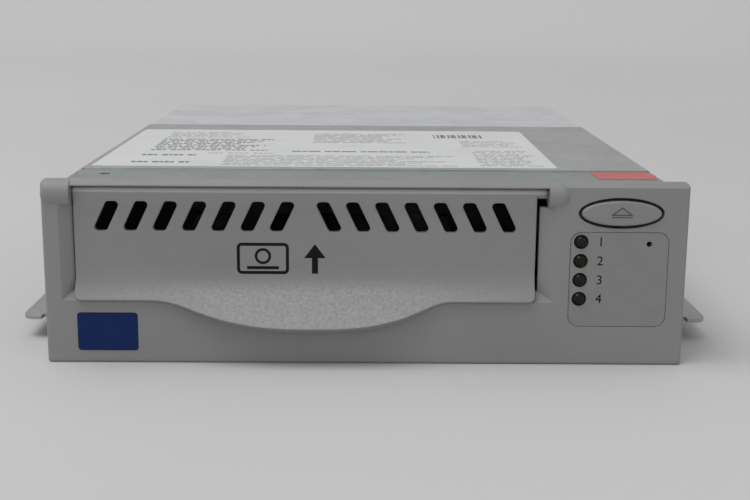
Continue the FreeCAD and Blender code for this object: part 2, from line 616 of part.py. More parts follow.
def cartridge_door():
    """Flap hinged at its top edge, with a scooped lower part that ends in the finger lip."""
    piece = Piece("cartridge_door")
    face = HINGE_Y - D.door_wall
    foot = 8.6
    slope = math.tan(math.radians(D.scoop_angle.value))
    run = (D.scoop_top - foot) * slope
    top = D.hinge_height + D.door_wall
    piece.add("YZ", D.door_left, D.door_right, polygon,
              (face, top), (HINGE_Y, top), (HINGE_Y, D.scoop_top + (D.door_wall - D.scoop_wall) / slope),
              (face + D.scoop_wall - run, foot), (face - run, foot), (face, D.scoop_top))
    ear_end = D.boss_start - 0.35
    piece.add("YZ", D.door_right, ear_end, rectangle, face, HINGE_Y, D.hinge_height - 0.45, top)
    piece.dress("Fillet", D.door_wall - 0.02, lambda edge: lies_at(edge, y=face, z=top))
    piece.dress("Fillet", 3, lambda edge: lies_at(edge, y=face, z=D.scoop_top))
    # the lip's thick edge, drawn on the slope, then everything outside the smile cut away
    band = piece.sketch("XZ", face, under_curve, 0, 2.4, tilt=D.scoop_angle, up=D.scoop_top)
    piece.feature("Pad", band, D.lip_edge, True)
    waste = piece.sketch("XZ", face, under_curve, 1, -12, tilt=D.scoop_angle, up=D.scoop_top)
    piece.feature("Pocket", waste, 12, False)
    for x, inward in ((D.door_left, 1), (D.door_right, -1)):
        corner = piece.sketch("XZ", face, corner_waste, x, inward, tilt=D.scoop_angle, up=D.scoop_top)
        piece.feature("Pocket", corner, 12, False)
    # clearance behind the lower part, so that it closes over the bezel's sill
    piece.cut("YZ", D.door_left - 1, D.door_right + 1, polygon,
              (FRONT - 0.35, 6), (FRONT - 0.35, 15), (FRONT + 0.1, 15.5), (FRONT + 1.9, 17.3),
              (HINGE_Y, D.scoop_top + (D.door_wall - D.scoop_wall) / slope),
              (HINGE_Y + 2, D.scoop_top + 1), (HINGE_Y + 2, 6))
    # two groups of leaning vent slots
    for first, lean, count in ((-63.3, D.vent_width, 7), (-11.9 + 3.35, -D.vent_width, 7)):
        slot = piece.cut("XZ", face - 1, HINGE_Y + 1, polygon,
                         (first, D.vent_low), (first + D.vent_width, D.vent_low),
                         (first + D.vent_width + lean, D.vent_high), (first + lean, D.vent_high))
        piece.row(slot, D.vent_pitch, count)
    piece.dress("Fillet", 0.9, lambda edge: (lies_at(edge, z=D.vent_low) or lies_at(edge, z=D.vent_high))
                and abs(edge.tangentAt(edge.FirstParameter).y) > 0.99)
    # stubs that turn in the bezel's bosses, the right one through the spring
    piece.add("YZ", D.door_left - 2.6, D.door_left, circle, HINGE_Y, D.hinge_height, D.pin_radius)
    piece.add("YZ", D.door_right, D.boss_end - 0.9, circle, HINGE_Y, D.hinge_height, D.pin_radius)
    return piece


def door_spring():
    """Torsion spring that closes the door: two turns round its right stub, and two legs."""
    turns, pitch, wire, sides = 2, 0.42, 0.17, 8
    radius = D.pin_radius.value + 0.12 + wire
    rise = V(0, 0, pitch * turns)
    angles = [math.pi * (2 * i + 1) / sides for i in range(sides + 1)]
    section = Part.makePolygon([V(radius + wire * math.cos(a), 0, wire * math.sin(a)) for a in angles])
    coil = Part.Wire(Part.makeHelix(pitch, pitch * turns, radius)).makePipeShell([section], True, True)
    end = section.copy()
    end.translate(rise)
    low_leg = Part.Face(section).extrude(V(0, -1.2, 0))
    high_leg = Part.Face(end).extrude(V(0, 2, 0))
    node = DOC.addObject("Part::Feature", "door_spring")
    node.Label = "door_spring"
    node.Shape = coil.fuse([low_leg, high_leg])
    node.Placement = FreeCAD.Placement(V(0, 0, 0), FACE_RIGHT)
    middle = D.spring_x + (D.spring_room - pitch * turns) / 2
    for axis, size in (("x", middle), ("y", HINGE_Y), ("z", D.hinge_height)):
        bind(node, f"Placement.Base.{axis}", size)
    NODES.append(node)


def eject_button():
    """Oval cap that slides in its hole, kept by a wider rim behind the wall."""
    piece = Piece("eject_button")
    inner = FRONT + D.bezel_wall
    centre = (D.button_x, D.button_z)
    piece.add("XZ", FRONT - 0.6, inner + 0.3, ellipse, *centre, D.button_length, D.button_height)
    piece.dress("Fillet", 0.5, lambda edge: edge.BoundBox.YMax < FRONT.value - 0.5)
    piece.add("XZ", inner + 0.3, inner + 1.1, ellipse, *centre, D.button_length + 3, D.button_height + 2.6)
    piece.add("XZ", inner + 1.1, FRONT + 6, rectangle, D.button_x - 3, D.button_x + 3,
              D.button_z - 1.6, D.button_z + 1.6)
    return piece


def switch(name, x, z, body_front, plunger_front, plunger_radius, half):
    """A tact switch on the front board and the plunger that slides in it."""
    board = FRONT + D.board_depth
    housing = Piece(f"{name}_switch")
    housing.add("XZ", body_front, board, rectangle, x - half, x + half, z - half, z + half)
    housing.cut("XZ", body_front, board - 0.3, circle, x, z, plunger_radius + D.pin_clearance)
    plunger = Piece(f"{name}_plunger")
    plunger.add("XZ", plunger_front, board - 1.5, circle, x, z, plunger_radius)


def front_board():
    """Circuit board behind the right column, with the lamps."""
    board = FRONT + D.board_depth
    piece = Piece("front_board")
    piece.add("XZ", board, board + 1.6, rectangle, 43.5, 68.8, 4, 40.4)
    lamp = Piece("lamp", written=False)
    lamp.turn(polygon, (0, 0), (1.9, 0), (1.9, 1.2), (D.led_radius, 1.2), (D.led_radius, 8.8),
              (D.led_radius * 0.88, 9.4), (D.led_radius * 0.5, 9.75), (0, 9.8))
    group("status_lamps", lamp, [(x, board, z, FACE_FRONT) for x, z in led_places()])


def lamp_panel():
    """Thin label plate let into the bezel round the lamps."""
    piece = Piece("lamp_panel")
    edge = 0.12
    piece.add("XZ", FRONT + 0.06, FRONT + 0.3, rounded, D.panel_left + edge, D.panel_right - edge,
              D.panel_low + edge, D.panel_high - edge, 2.5)
    piece.cut("XZ", FRONT + 0.06, FRONT + 0.3, circles, led_places(), D.led_radius + 0.1)
    piece.cut("XZ", FRONT + 0.06, FRONT + 0.3, circle, D.reset_x, D.reset_z, 0.65)
    badge = Piece("badge_plate")
    badge.add("XZ", FRONT - 0.15, FRONT + 0.4, rounded, D.badge_left + 0.1, D.badge_right - 0.1,
              D.badge_low + 0.1, D.badge_high - 0.1, 0.7)


# ---------------------------------------------------------------- chassis, covers and rails

def hole_depths():
    return (FRONT + D.hole_depth, FRONT + D.hole_depth + D.hole_span)


def deck_pillars():
    """Places of the pillars that carry the deck."""
    return [(x, FRONT + depth) for depth in (28, 116, 190) for x in (-62, 62)]


def ledge_depths():
    """Front and rear ledges that carry the main board."""
    return (FRONT + 144, FRONT + 196)


def chassis():
    """Die-cast tray: floor, side walls with threaded bosses, low front wall, deck pillars."""
    piece = Piece("chassis")
    start = FRONT + D.bezel_depth
    back = FRONT + D.chassis_back
    wall = D.chassis_wall
    split = FRONT + (D.front_cover_end + D.rear_cover_start) / 2
    piece.add("XY", 0, COVER_UNDER, rectangle, -HALF, HALF, start, back)
    piece.cut("XY", wall, COVER_UNDER, rectangle, wall - HALF, HALF - wall, start + wall, back)
    piece.cut("XY", REAR_COVER_TOP - D.cover_sheet, COVER_UNDER, rectangle, -HALF, HALF, split, back)
    # front wall cut down below the cartridge opening and behind the right column
    piece.cut("XZ", start, start + wall, rectangle, wall - HALF, HALF - wall, 9.8, COVER_UNDER)
    for low, high in ((wall - HALF, wall + 2 - HALF), (HALF - wall - 2, HALF - wall)):
        piece.cut("XZ", start, start + wall, rectangle, low, high, 3.5, 10)
    # rebates for the covers' flanges
    flange_low = D.chassis_top - D.cover_flange - 0.1
    for side in (-1, 1):
        outer, inner = side * HALF, side * (HALF - D.cover_sheet - 0.1)
        low, high = (outer, inner) if side < 0 else (inner, outer)
        piece.cut("XY", flange_low, COVER_UNDER, rectangle, low, high, start, back)
    # bosses for the bottom threads, run into the walls
    threads = [(x, y) for x in (-D.bottom_span / 2, D.bottom_span / 2) for y in hole_depths()]
    for x, y in threads:
        piece.add("XY", wall, 6.5, circle, x, y, 2.9)
    piece.cut("XY", 0, 5, circles, threads, D.thread_radius)
    side_threads = [(y, z) for y in hole_depths() for z in (D.side_low, D.side_high)]
    piece.cut("YZ", -HALF, HALF, circles, side_threads, D.thread_radius)
    cover_threads = [(FRONT + depth, SCREW_HEIGHT) for depth in FRONT_SCREWS + REAR_SCREWS]
    piece.cut("YZ", -HALF, HALF, circles, cover_threads, 1)
    # pillars under the deck, ledges under the main board
    pillar = 2.6
    for x, y in deck_pillars():
        piece.add("XY", wall, D.deck_low, circle, x, y, pillar)
    piece.cut("XY", 3, D.deck_low, circles, deck_pillars(), 1)
    for side in (-1, 1):
        edge, reach = side * (HALF - wall), side * (HALF - wall - 5)
        low, high = (edge, reach) if side < 0 else (reach, edge)
        for y in ledge_depths():
            piece.add("XY", 31, LEDGE_TOP, rectangle, low, high, y - 3, y + 3)
            piece.cut("XY", 33.5, LEDGE_TOP, circle, side * BOARD_SCREW_X, y, 1)
    # windows that the bezel's snap teeth catch in
    for low in (4, 24):
        piece.cut("YZ", -HALF, HALF, rectangle, start + 2.8, start + 6.4, low - 0.5, low + 7.5)
    return piece


def cover(name, first, last, top):
    """Folded sheet-steel cover with side flanges in the chassis' rebates."""
    piece = Piece(name)
    low = D.chassis_top - D.cover_flange
    piece.add("XZ", first, last, polygon,
              (-HALF, low), (D.cover_sheet - HALF, low), (D.cover_sheet - HALF, top - D.cover_sheet),
              (HALF - D.cover_sheet, top - D.cover_sheet), (HALF - D.cover_sheet, low), (HALF, low),
              (HALF, top), (-HALF, top))
    piece.dress("Fillet", 0.6, lambda edge: lies_at(edge, x=-HALF, z=top) or lies_at(edge, x=HALF, z=top))
    return piece


def covers():
    """Front and rear covers, with screw holes in their flanges and an access hole at the front."""
    start = FRONT + D.bezel_depth
    front = cover("front_cover", start, FRONT + D.front_cover_end, D.chassis_top)
    rear = cover("rear_cover", FRONT + D.rear_cover_start, FRONT + D.chassis_back, REAR_COVER_TOP)
    for piece, depths in ((front, FRONT_SCREWS), (rear, REAR_SCREWS)):
        piece.cut("YZ", -HALF, HALF, circles, [(FRONT + depth, SCREW_HEIGHT) for depth in depths], 1)
    front.cut("XY", COVER_UNDER, D.chassis_top, circle, -65.2, FRONT + 27.3, 1.3)
    # band along the front that lies a little lower, with relief notches in its bends
    front.cut("XY", D.chassis_top - D.front_band_drop, D.chassis_top, rectangle, -HALF, HALF,
              start, FRONT + D.front_band_end)
    for side in (-1, 1):
        for depth in (27, D.front_band_end - 0.9):
            front.cut("XY", COVER_UNDER - 0.8, D.chassis_top, rectangle, side * HALF, side * (HALF - 1),
                      FRONT + depth, FRONT + depth + 1.2)


def rear_panel():
    """Sheet-steel rear wall, cut out for the connectors."""
    piece = Piece("rear_panel")
    back = FRONT + D.chassis_back
    piece.add("XZ", back, back + 1, rectangle, -HALF, HALF, 0, REAR_COVER_TOP)
    for x0, x1, z0, z1 in connector_windows():
        piece.cut("XZ", back, back + 1, rectangle, x0, x1, z0, z1)
    return piece


def connector_windows():
    return ((1.8, 64.2, 24.8, 36.2), (-66.2, -44.8, 25.8, 36.2), (-40.2, -19.8, 30.8, 36.2))


def rail(name, side):
    """L-section mounting rail: upright leg on the chassis' side, flange standing out below."""
    piece = Piece(name)
    first, last = FRONT + D.rail_start, FRONT + D.rail_end
    sheet = D.rail_sheet
    leg = [(side * HALF, D.rail_top - sheet), (side * D.rail_reach, D.rail_top - sheet),
           (side * D.rail_reach, D.rail_top), (side * (HALF + sheet), D.rail_top),
           (side * (HALF + sheet), D.rail_height), (side * HALF, D.rail_height)]
    piece.add("XZ", first, last, polygon, *(leg if side > 0 else leg[::-1]))
    piece.dress("Fillet", 3, lambda edge: lies_at(edge, x=side * D.rail_reach)
                and abs(edge.tangentAt(edge.FirstParameter).z) > 0.99)
    # relief where the flange meets the bend, at the front
    bend = side * (HALF + sheet + 0.1)
    relief = side * 80.9
    low, high = (relief, bend) if side < 0 else (bend, relief)
    piece.cut("XY", 0, D.rail_top, rectangle, low, high, first, first + 2)
    low, high = (side * (HALF + sheet), side * HALF) if side < 0 else (HALF, HALF + sheet)
    for y in hole_depths():
        piece.cut("YZ", low, high, circle, y, D.side_low, 1.6)
    return piece


def pan_screw(name, length, radius, head_radius, head_height):
    """Cross-recess pan-head screw, its head above z = 0 and its shank below."""
    piece = Piece(name, written=False)
    piece.turn(polygon, (0, -length), (radius, -length), (radius, 0), (head_radius, 0),
               (head_radius, head_height * 0.55), (head_radius * 0.7, head_height), (0, head_height))
    for across, along in ((0.25, head_radius * 0.6), (head_radius * 0.6, 0.25)):
        piece.cut("XY", head_height * 0.4, head_height + 0.1, rectangle, -across, across, -along, along)
    return piece


def flush_screw():
    """Flat-head screw that sits in a counterbore, its top just below z = 0."""
    piece = Piece("flush_screw", written=False)
    piece.turn(polygon, (0, -3.6), (1, -3.6), (1, -0.8), (1.5, -0.8), (1.5, -0.05), (0, -0.05))
    piece.cut("XY", -0.5, 0, rectangle, -0.2, 0.2, -0.9, 0.9)
    piece.cut("XY", -0.5, 0, rectangle, -0.9, 0.9, -0.2, 0.2)
    return piece


def fasteners():
    """Cover, rail, deck and board screws, each kind one node of identical solids."""
    cover_screw = pan_screw("cover_screw", 2.4, 1, 1.9, 0.9)
    rail_screw = pan_screw("rail_screw", 3, D.thread_radius, 2.8, 1.6)
    board_screw = pan_screw("board_screw", 3.4, 1, 2, 1.1)
    turned = {-1: FACE_LEFT, 1: FACE_RIGHT}
    group("cover_screws", cover_screw,
          [(side * HALF, FRONT + depth, SCREW_HEIGHT, turned[side])
           for side in (-1, 1) for depth in FRONT_SCREWS + REAR_SCREWS])
    group("rail_screws", rail_screw,
          [(side * (HALF + D.rail_sheet), y, D.side_low, turned[side])
           for side in (-1, 1) for y in hole_depths()])
    group("deck_screws", flush_screw(), [(x, y, D.deck_high, UPRIGHT) for x, y in deck_pillars()])
    group("board_screws", board_screw,
          [(side * BOARD_SCREW_X, y, BOARD_TOP, UPRIGHT) for side in (-1, 1) for y in ledge_depths()])


# ---------------------------------------------------------------- deck, motors, reels and rollers

HUB_Y = FRONT + D.hub_depth
REEL_Y = FRONT + D.reel_depth


def roller_places():
    """The four guide rollers along the tape path, cartridge side first."""
    return ((51, FRONT + 121), (62, FRONT + 134), (62, FRONT + 162), (42, FRONT + 184))


def deck():
    """Sheet deck on the chassis' pillars, cut out for the two motors."""
    piece = Piece("deck_plate")
    piece.add("XY", D.deck_low, D.deck_high, rectangle, 2.6 - HALF, HALF - 2.6, FRONT + 19, FRONT + 197)
    piece.cut("XY", D.deck_low, D.deck_high, circle, D.hub_x, HUB_Y, 26)
    piece.cut("XY", D.deck_low, D.deck_high, circle, D.reel_x, REEL_Y, 9.5)
    piece.cut("XY", D.deck_high - 0.8, D.deck_high, circles, deck_pillars(), 1.55)
    piece.cut("XY", D.deck_low, D.deck_high, circles, deck_pillars(), 1)


def spindle_motor(name, x, y, radius, shaft_top):
    """Flat stator on the chassis floor with its fixed shaft."""
    piece = Piece(name, x, y)
    piece.turn(polygon, (0, D.chassis_wall), (radius, D.chassis_wall), (radius, 3.2), (radius - 3, 3.2),
               (radius - 3, 6.6), (8, 6.6), (8, 5), (D.shaft_radius, 5),
               (D.shaft_radius, shaft_top), (0, shaft_top))


def supply_hub():
    """Cup-shaped rotor with the toothed ring that grips the cartridge's reel."""
    piece = Piece("supply_hub", D.hub_x, HUB_Y)
    bore = D.shaft_radius + D.pin_clearance
    piece.turn(polygon, (bore, 7.2), (24.5, 7.2), (24.5, 10.4), (18.5, 10.4), (18.5, 12.6), (14.5, 12.6),
               (14.5, 11.4), (7, 11.4), (7, 12.4), (bore, 12.4))
    tooth = piece.add("XY", 12.6, 13.9, polygon, (14.8, -0.5), (18.3, -0.9), (18.3, 0.9), (14.8, 0.5))
    piece.ring(tooth, 16)


def takeup_reel():
    """Hub between two flanges with lightening windows, slotted for the leader pin."""
    piece = Piece("takeup_reel", D.reel_x, REEL_Y)
    bore = D.shaft_radius + D.pin_clearance
    low, high = D.tape_low - 0.2, D.tape_high + 0.2
    rim = D.reel_radius
    piece.turn(polygon, (bore, 9.8), (8, 9.8), (8, low - 1), (rim, low - 1), (rim, low), (22, low),
               (22, high), (rim, high), (rim, high + 1), (bore, high + 1))
    window = piece.cut("XY", low - 1, high + 1, circle, 31, 0, 4.5)
    piece.ring(window, 6)
    piece.cut("XY", low, high + 1, rectangle, 15, 24, -1.6, 1.6)


def roller(number, x, y):
    """Flanged guide roller that spins on its post."""
    piece = Piece(f"guide_roller_{number}", x, y)
    bore = 1.5 + D.pin_clearance
    piece.turn(polygon, (bore, D.tape_low - 0.8), (6, D.tape_low - 0.8), (6, D.tape_low), (5, D.tape_low),
               (5, D.tape_high), (6, D.tape_high), (6, D.tape_high + 0.8), (bore, D.tape_high + 0.8))


def reels_and_rollers():
    spindle_motor("supply_motor", D.hub_x, HUB_Y, 24, 13.4)
    supply_hub()
    spindle_motor("takeup_motor", D.reel_x, REEL_Y, 22, 30.6)
    takeup_reel()
    post = Piece("roller_post", written=False)
    post.turn(polygon, (0, D.deck_high), (3.2, D.deck_high), (3.2, D.tape_low - 1.1), (1.5, D.tape_low - 1.1),
              (1.5, D.tape_high + 1.6), (0, D.tape_high + 1.6))
    group("roller_posts", post, [(x, y, 0, UPRIGHT) for x, y in roller_places()])
    for number, (x, y) in enumerate(roller_places(), start=1):
        roller(number, x, y)


# ---------------------------------------------------------------- tape head

def head_assembly():
    """Head carriage on two upright rods, moved across the tape by a voice coil."""
    middle = FRONT + 148
    bracket = Piece("head_bracket")
    bracket.add("XZ", middle - 10, middle + 10, polygon, (36, D.deck_high), (55, D.deck_high), (55, 11.5),
                (38, 11.5), (38, 33), (55, 33), (55, 34.4), (36, 34.4))
    rods = [(47, middle - 7), (47, middle + 7)]
    rod = 1.2
    bracket.cut("XY", D.deck_high, 34.4, circles, rods, rod)
    group("head_rods", rod_master(rod), [(x, y, 0, UPRIGHT) for x, y in rods])
    carriage = Piece("head_carriage")
    carriage.add("XY", 17, 28, polygon, (43.5, middle - 9.5), (50.5, middle - 9.5), (50.5, middle - 5),
                 (52.5, middle - 5), (52.5, middle + 5), (50.5, middle + 5), (50.5, middle + 9.5),
                 (43.5, middle + 9.5))
    carriage.cut("XY", 17, 28, circles, rods, rod + D.pin_clearance)
    head = Piece("tape_head")
    head.add("XY", 17.5, 27.5, polygon, (52.5, middle - 4.5), (55.4, middle - 4.5), (56.4, middle - 3),
             (56.4, middle - 1.2), (55.7, middle), (56.4, middle + 1.2), (56.4, middle + 3),
             (55.4, middle + 4.5), (52.5, middle + 4.5))
    coil = Piece("voice_coil")
    coil.add("YZ", 41.9, 43.5, rounded, middle - 6, middle + 6, 18, 27, 2)
    coil.cut("YZ", 41.9, 43.5, rounded, middle - 3, middle + 3, 20.5, 24.5, 1)
    magnet = Piece("voice_coil_magnet")
    magnet.add("YZ", 38, 41.3, rectangle, middle - 7, middle + 7, 13.5, 31.5)


def rod_master(radius):
    rod = Piece("head_rod", written=False)
    rod.add("XY", D.deck_high, 34.4, circle, 0, 0, radius)
    return rod


# ---------------------------------------------------------------- cartridge cage and loader

CAGE_LEFT = D.hub_x - D.cage_half
CAGE_RIGHT = D.hub_x + D.cage_half
PIN_DEPTHS = (30, 90)
PIN_HEIGHT = as_size(26)
SLIDE_INNER = D.cage_half + D.side_gap
SLIDE_OUTER = SLIDE_INNER + D.cage_sheet
GUIDE_INNER = SLIDE_OUTER + D.side_gap
GUIDE_OUTER = GUIDE_INNER + D.cage_sheet
SLOT_RADIUS = D.cage_pin + D.slot_clearance


def side_span(side, near_face, far_face):
    """X range of an upright plate beside the cage, on the left (-1) or right (1)."""
    first, last = D.hub_x + side * near_face, D.hub_x + side * far_face
    return (last, first) if side < 0 else (first, last)


def cage():
    """Sheet-steel cage that takes the cartridge: side ledges below, open middle, stops behind."""
    piece = Piece("cartridge_cage")
    front, back = FRONT + D.cage_front, FRONT + D.cage_back
    sheet = D.cage_sheet
    piece.add("XZ", front, back, rectangle, CAGE_LEFT, CAGE_RIGHT, D.cage_low, D.cage_high)
    piece.cut("XZ", front, back - sheet, rectangle, CAGE_LEFT + sheet, CAGE_RIGHT - sheet,
              D.cage_low + sheet, D.cage_high - sheet)
    piece.cut("XY", D.cage_low, D.cage_low + sheet, rounded, CAGE_LEFT + 15, CAGE_RIGHT - 15,
              front + 8, back - 6, 4)
    piece.cut("XY", D.cage_high - sheet, D.cage_high, rounded, CAGE_LEFT + 12, CAGE_RIGHT - 12,
              front + 12, back - 14, 6)
    piece.cut("XZ", back - sheet, back, rounded, CAGE_LEFT + 22, CAGE_RIGHT - 3,
              D.cage_low + 3, D.cage_high - 3, 2)
    holes = [(FRONT + depth, PIN_HEIGHT) for depth in PIN_DEPTHS]
    for low, high in ((CAGE_LEFT, CAGE_LEFT + sheet), (CAGE_RIGHT - sheet, CAGE_RIGHT)):
        piece.cut("YZ", low, high, circles, holes, 0.9)
    pin = Piece("cage_pin", written=False)
    end = GUIDE_OUTER - D.cage_half - 0.1
    pin.turn(polygon, (0, -sheet), (0.9, -sheet), (0.9, 0), (D.cage_pin, 0), (D.cage_pin, end), (0, end))
    group("cage_pins", pin,
          [(x, FRONT + depth, PIN_HEIGHT, turn)
           for x, turn in ((CAGE_LEFT, FACE_LEFT), (CAGE_RIGHT, FACE_RIGHT)) for depth in PIN_DEPTHS])


def side_plates():
    """Slide plates with slots that drive the cage's pins, and fixed guide plates outside them."""
    down = PIN_HEIGHT - D.cage_down_travel
    for side, word in ((-1, "left"), (1, "right")):
        slide = Piece(f"slide_plate_{word}")
        span = side_span(side, SLIDE_INNER, SLIDE_OUTER)
        slide.add("YZ", *span, rectangle, FRONT + 17, FRONT + 116, 10.6, 34)
        for depth in PIN_DEPTHS:
            start = FRONT + depth
            slide.cut("YZ", *span, obround, (start, PIN_HEIGHT),
                      (start + D.cage_back_travel - D.slide_travel, down), SLOT_RADIUS)
        if side > 0:
            rack(slide, span[1])
        guide = Piece(f"guide_plate_{word}")
        span = side_span(side, GUIDE_INNER, GUIDE_OUTER)
        guide.add("YZ", *span, rectangle, FRONT + 19, FRONT + 111, D.deck_high, 34)
        for depth in PIN_DEPTHS:
            guide.cut("YZ", *span, obround, (FRONT + depth, PIN_HEIGHT),
                      (FRONT + depth + D.cage_back_travel, down), SLOT_RADIUS)
        if side > 0:
            guide.cut("YZ", *span, rectangle, FRONT + 20.6, FRONT + 106, D.deck_high, 12.6)
    tie = Piece("slide_tie_bar")
    tie.add("XZ", FRONT + 112.5, FRONT + 116, rectangle,
            D.hub_x - SLIDE_INNER, D.hub_x + SLIDE_INNER, 31, 32.5)


def rack(slide, start):
    """Toothed flange along the right slide plate's lower edge."""
    pitch = math.pi * D.rack_module.value
    module = D.rack_module
    slope = math.tan(math.radians(20))
    root = D.rack_line - 1.25 * module
    tip = D.rack_line + 0.9 * module
    low, high = 10.6, 12
    slide.add("XY", low, high, rectangle, start, root, FRONT + 21.2, FRONT + 51)
    middle = FRONT + D.gear_depth
    half = pitch / 4 - GEAR_PLAY / 2
    foot, top = half + 1.25 * module.value * slope, half - 0.9 * module.value * slope
    first = middle - 9 * pitch
    tooth = slide.add("XY", low, high, polygon,
                      (root - 0.2, first - foot), (root, first - foot), (tip, first - top),
                      (tip, first + top), (root, first + foot), (root - 0.2, first + foot))
    pattern = slide.body.newObject("PartDesign::LinearPattern", "rack_teeth")
    pattern.Originals = [tooth]
    pattern.Direction = (tooth.Profile[0], ["V_Axis"])
    pattern.Length = 11 * pitch
    pattern.Occurrences = 12
    slide.finish(pattern)


GEAR_PLAY = 0.1                                  # taken off each tooth's thickness


def gear(piece, low, high, module, teeth, first_angle, bore):
    """Adds an involute spur gear about the piece's own Z axis, one tooth centred on first_angle."""
    pitch_radius = module.value * teeth.value / 2
    base = pitch_radius * math.cos(math.radians(20))
    root = pitch_radius - 1.25 * module.value
    tip = pitch_radius + 0.9 * module.value
    piece.add("XY", low, high, circle, 0, 0, root)

    def half_angle(radius):
        at_pitch = math.pi / 2 / teeth.value - GEAR_PLAY / 2 / pitch_radius
        pressure = math.acos(min(1, base / radius))
        rolled = math.tan(pressure) - pressure
        return at_pitch + math.tan(math.radians(20)) - math.radians(20) - rolled

    radii = [root - 0.15, max(base, root), pitch_radius, (pitch_radius + tip) / 2, tip]
    flank = [(radius, half_angle(max(radius, base))) for radius in radii]
    turn = math.radians(first_angle)
    points = ([(r * math.cos(turn - a), r * math.sin(turn - a)) for r, a in flank]
              + [(r * math.cos(turn + a), r * math.sin(turn + a)) for r, a in flank[::-1]])
    tooth = piece.add("XY", low, high, polygon, *points)
    piece.ring(tooth, teeth)
    if bore:
        piece.cut("XY", low, high, circle, 0, 0, bore)


def loader():
    """Motor, pinion and stepped gear that drive the rack of the right slide plate."""
    gear_x = D.rack_line + D.rack_module * D.pinion_teeth / 2
    gear_y = FRONT + D.gear_depth
    motor_y = gear_y + D.train_module * (D.wheel_teeth + D.motor_teeth) / 2
    bore = 1.5 + D.pin_clearance
    stepped = Piece("loader_gear", gear_x, gear_y)
    gear(stepped, as_size(10.2), as_size(12.8), D.rack_module, D.pinion_teeth, 10, None)
    gear(stepped, as_size(12.8), as_size(14.4), D.train_module, D.wheel_teeth, 0, None)
    stepped.cut("XY", 10.2, 14.4, circle, 0, 0, bore)
    post = Piece("gear_post", gear_x, gear_y)
    post.turn(polygon, (0, D.deck_high), (2.8, D.deck_high), (2.8, 10), (1.5, 10), (1.5, 14.6), (2.3, 14.6),
              (2.3, 15.3), (0, 15.3))
    pinion = Piece("loader_pinion", gear_x, motor_y)
    gear(pinion, as_size(12.8), as_size(14.4), D.train_module, D.motor_teeth, 18, None)
    pinion.add("XY", 14.4, 18, circle, 0, 0, 1)
    motor = Piece("loader_motor", gear_x, motor_y)
    motor.turn(polygon, (1.06, 16.4), (9, 16.4), (9, 33), (0, 33), (0, 18.4), (1.06, 18.4))
    for side in (-1, 1):
        low, high = (side * 9.4, side * 7.6) if side < 0 else (7.6, 9.4)
        motor.cut("YZ", low, high, rectangle, -9, 9, 16.4, 33)
    bracket = Piece("motor_bracket", gear_x, motor_y)
    bracket.add("XY", 15.6, 16.4, rectangle, -10, 11.8, -9, 9)
    bracket.cut("XY", 15.6, 16.4, circle, 0, 0, 2.2)
    bracket.add("XY", D.deck_high, 15.6, rectangle, 11, 11.8, -2, 9)
    bracket.add("XY", D.deck_high, 10.3, rectangle, 5, 11, 3, 9)


# ---------------------------------------------------------------- electronics

def main_board():
    """Logic board under the rear cover, with its chips and the rear connectors."""
    back = FRONT + D.chassis_back
    piece = Piece("main_board")
    piece.add("XY", LEDGE_TOP, BOARD_TOP, rectangle, 3.2 - HALF, HALF - 3.2, FRONT + 140, back - 2)
    piece.cut("XY", LEDGE_TOP, BOARD_TOP, circles,
              [(side * BOARD_SCREW_X, y) for side in (-1, 1) for y in ledge_depths()], 1)
    chips = ((-40, -20, 150, 170), (-8, 12, 152, 172), (24, 38, 156, 164),
             (-58, -48, 176, 190), (-30, -16, 182, 190))
    box_group("board_chips", [(x0, x1, FRONT + d0, FRONT + d1, BOARD_TOP, BOARD_TOP + 1.4)
                              for x0, x1, d0, d1 in chips])
    end = back + 1
    scsi = Piece("scsi_connector")
    scsi.add("XZ", end - 14, end, rectangle, 2, 64, 25, LEDGE_TOP)
    scsi.cut("XZ", end - 7, end, polygon, (8, 33.6), (9.6, 27.2), (56.4, 27.2), (58, 33.6))
    power = Piece("power_connector")
    power.add("XZ", end - 13, end, rectangle, -66, -45, 26, LEDGE_TOP)
    power.cut("XZ", end - 11, end, polygon,
              (-65, 27), (-46, 27), (-46, 33.2), (-47.8, 35), (-63.2, 35), (-65, 33.2))
    pin = Piece("power_pin", written=False)
    pin.add("XY", 0, 6, circle, 0, 0, 1.05)
    group("power_pins", pin, [(x, end - 11, 31, FACE_BACK) for x in (-63.1, -58.0, -53, -47.9)])
    jumper = Piece("jumper_block")
    jumper.add("XZ", end - 8, end - 5, rectangle, -40, -20, 31, LEDGE_TOP)
    post = jumper.add("XZ", end - 5, end, rectangle, -39.05, -38.4, 32, 32.65)
    jumper.row(post, 2.54, 8)
    post = jumper.add("XZ", end - 5, end, rectangle, -39.05, -38.4, 34.5, 35.15)
    jumper.row(post, 2.54, 8)


# ---------------------------------------------------------------- assembly

def check_and_write():
    """Refuses a failed document, then writes every node."""
    for thing in DOC.Objects:
        if {"Invalid", "Error"} & set(thing.State):
            raise RuntimeError(f"{thing.Label}: {thing.State}")
    os.makedirs("parts", exist_ok=True)
    for node in NODES:
        if node.Shape.isNull() or not node.Shape.isValid() or not node.Shape.Solids:
            raise RuntimeError(f"{node.Label}: bad shape")
        node.Shape.exportStep(f"parts/{node.Label}.step")


bezel()
cartridge_door()
door_spring()
eject_button()
switch("eject", D.button_x, D.button_z, FRONT + 7, FRONT + 6, 1, 3)
switch("reset", D.reset_x, D.reset_z, FRONT + 6.8, FRONT + 5.2, 0.9, 2)
front_board()
lamp_panel()
chassis()
covers()
rear_panel()
rail("rail_left", -1)
rail("rail_right", 1)
fasteners()
deck()
reels_and_rollers()
head_assembly()
cage()
side_plates()
loader()
main_board()
DOC.recompute()
check_and_write()
print(f"{len(NODES)} nodes written")
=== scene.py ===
import math

import bmesh
import bpy
from mathutils import Matrix, Vector


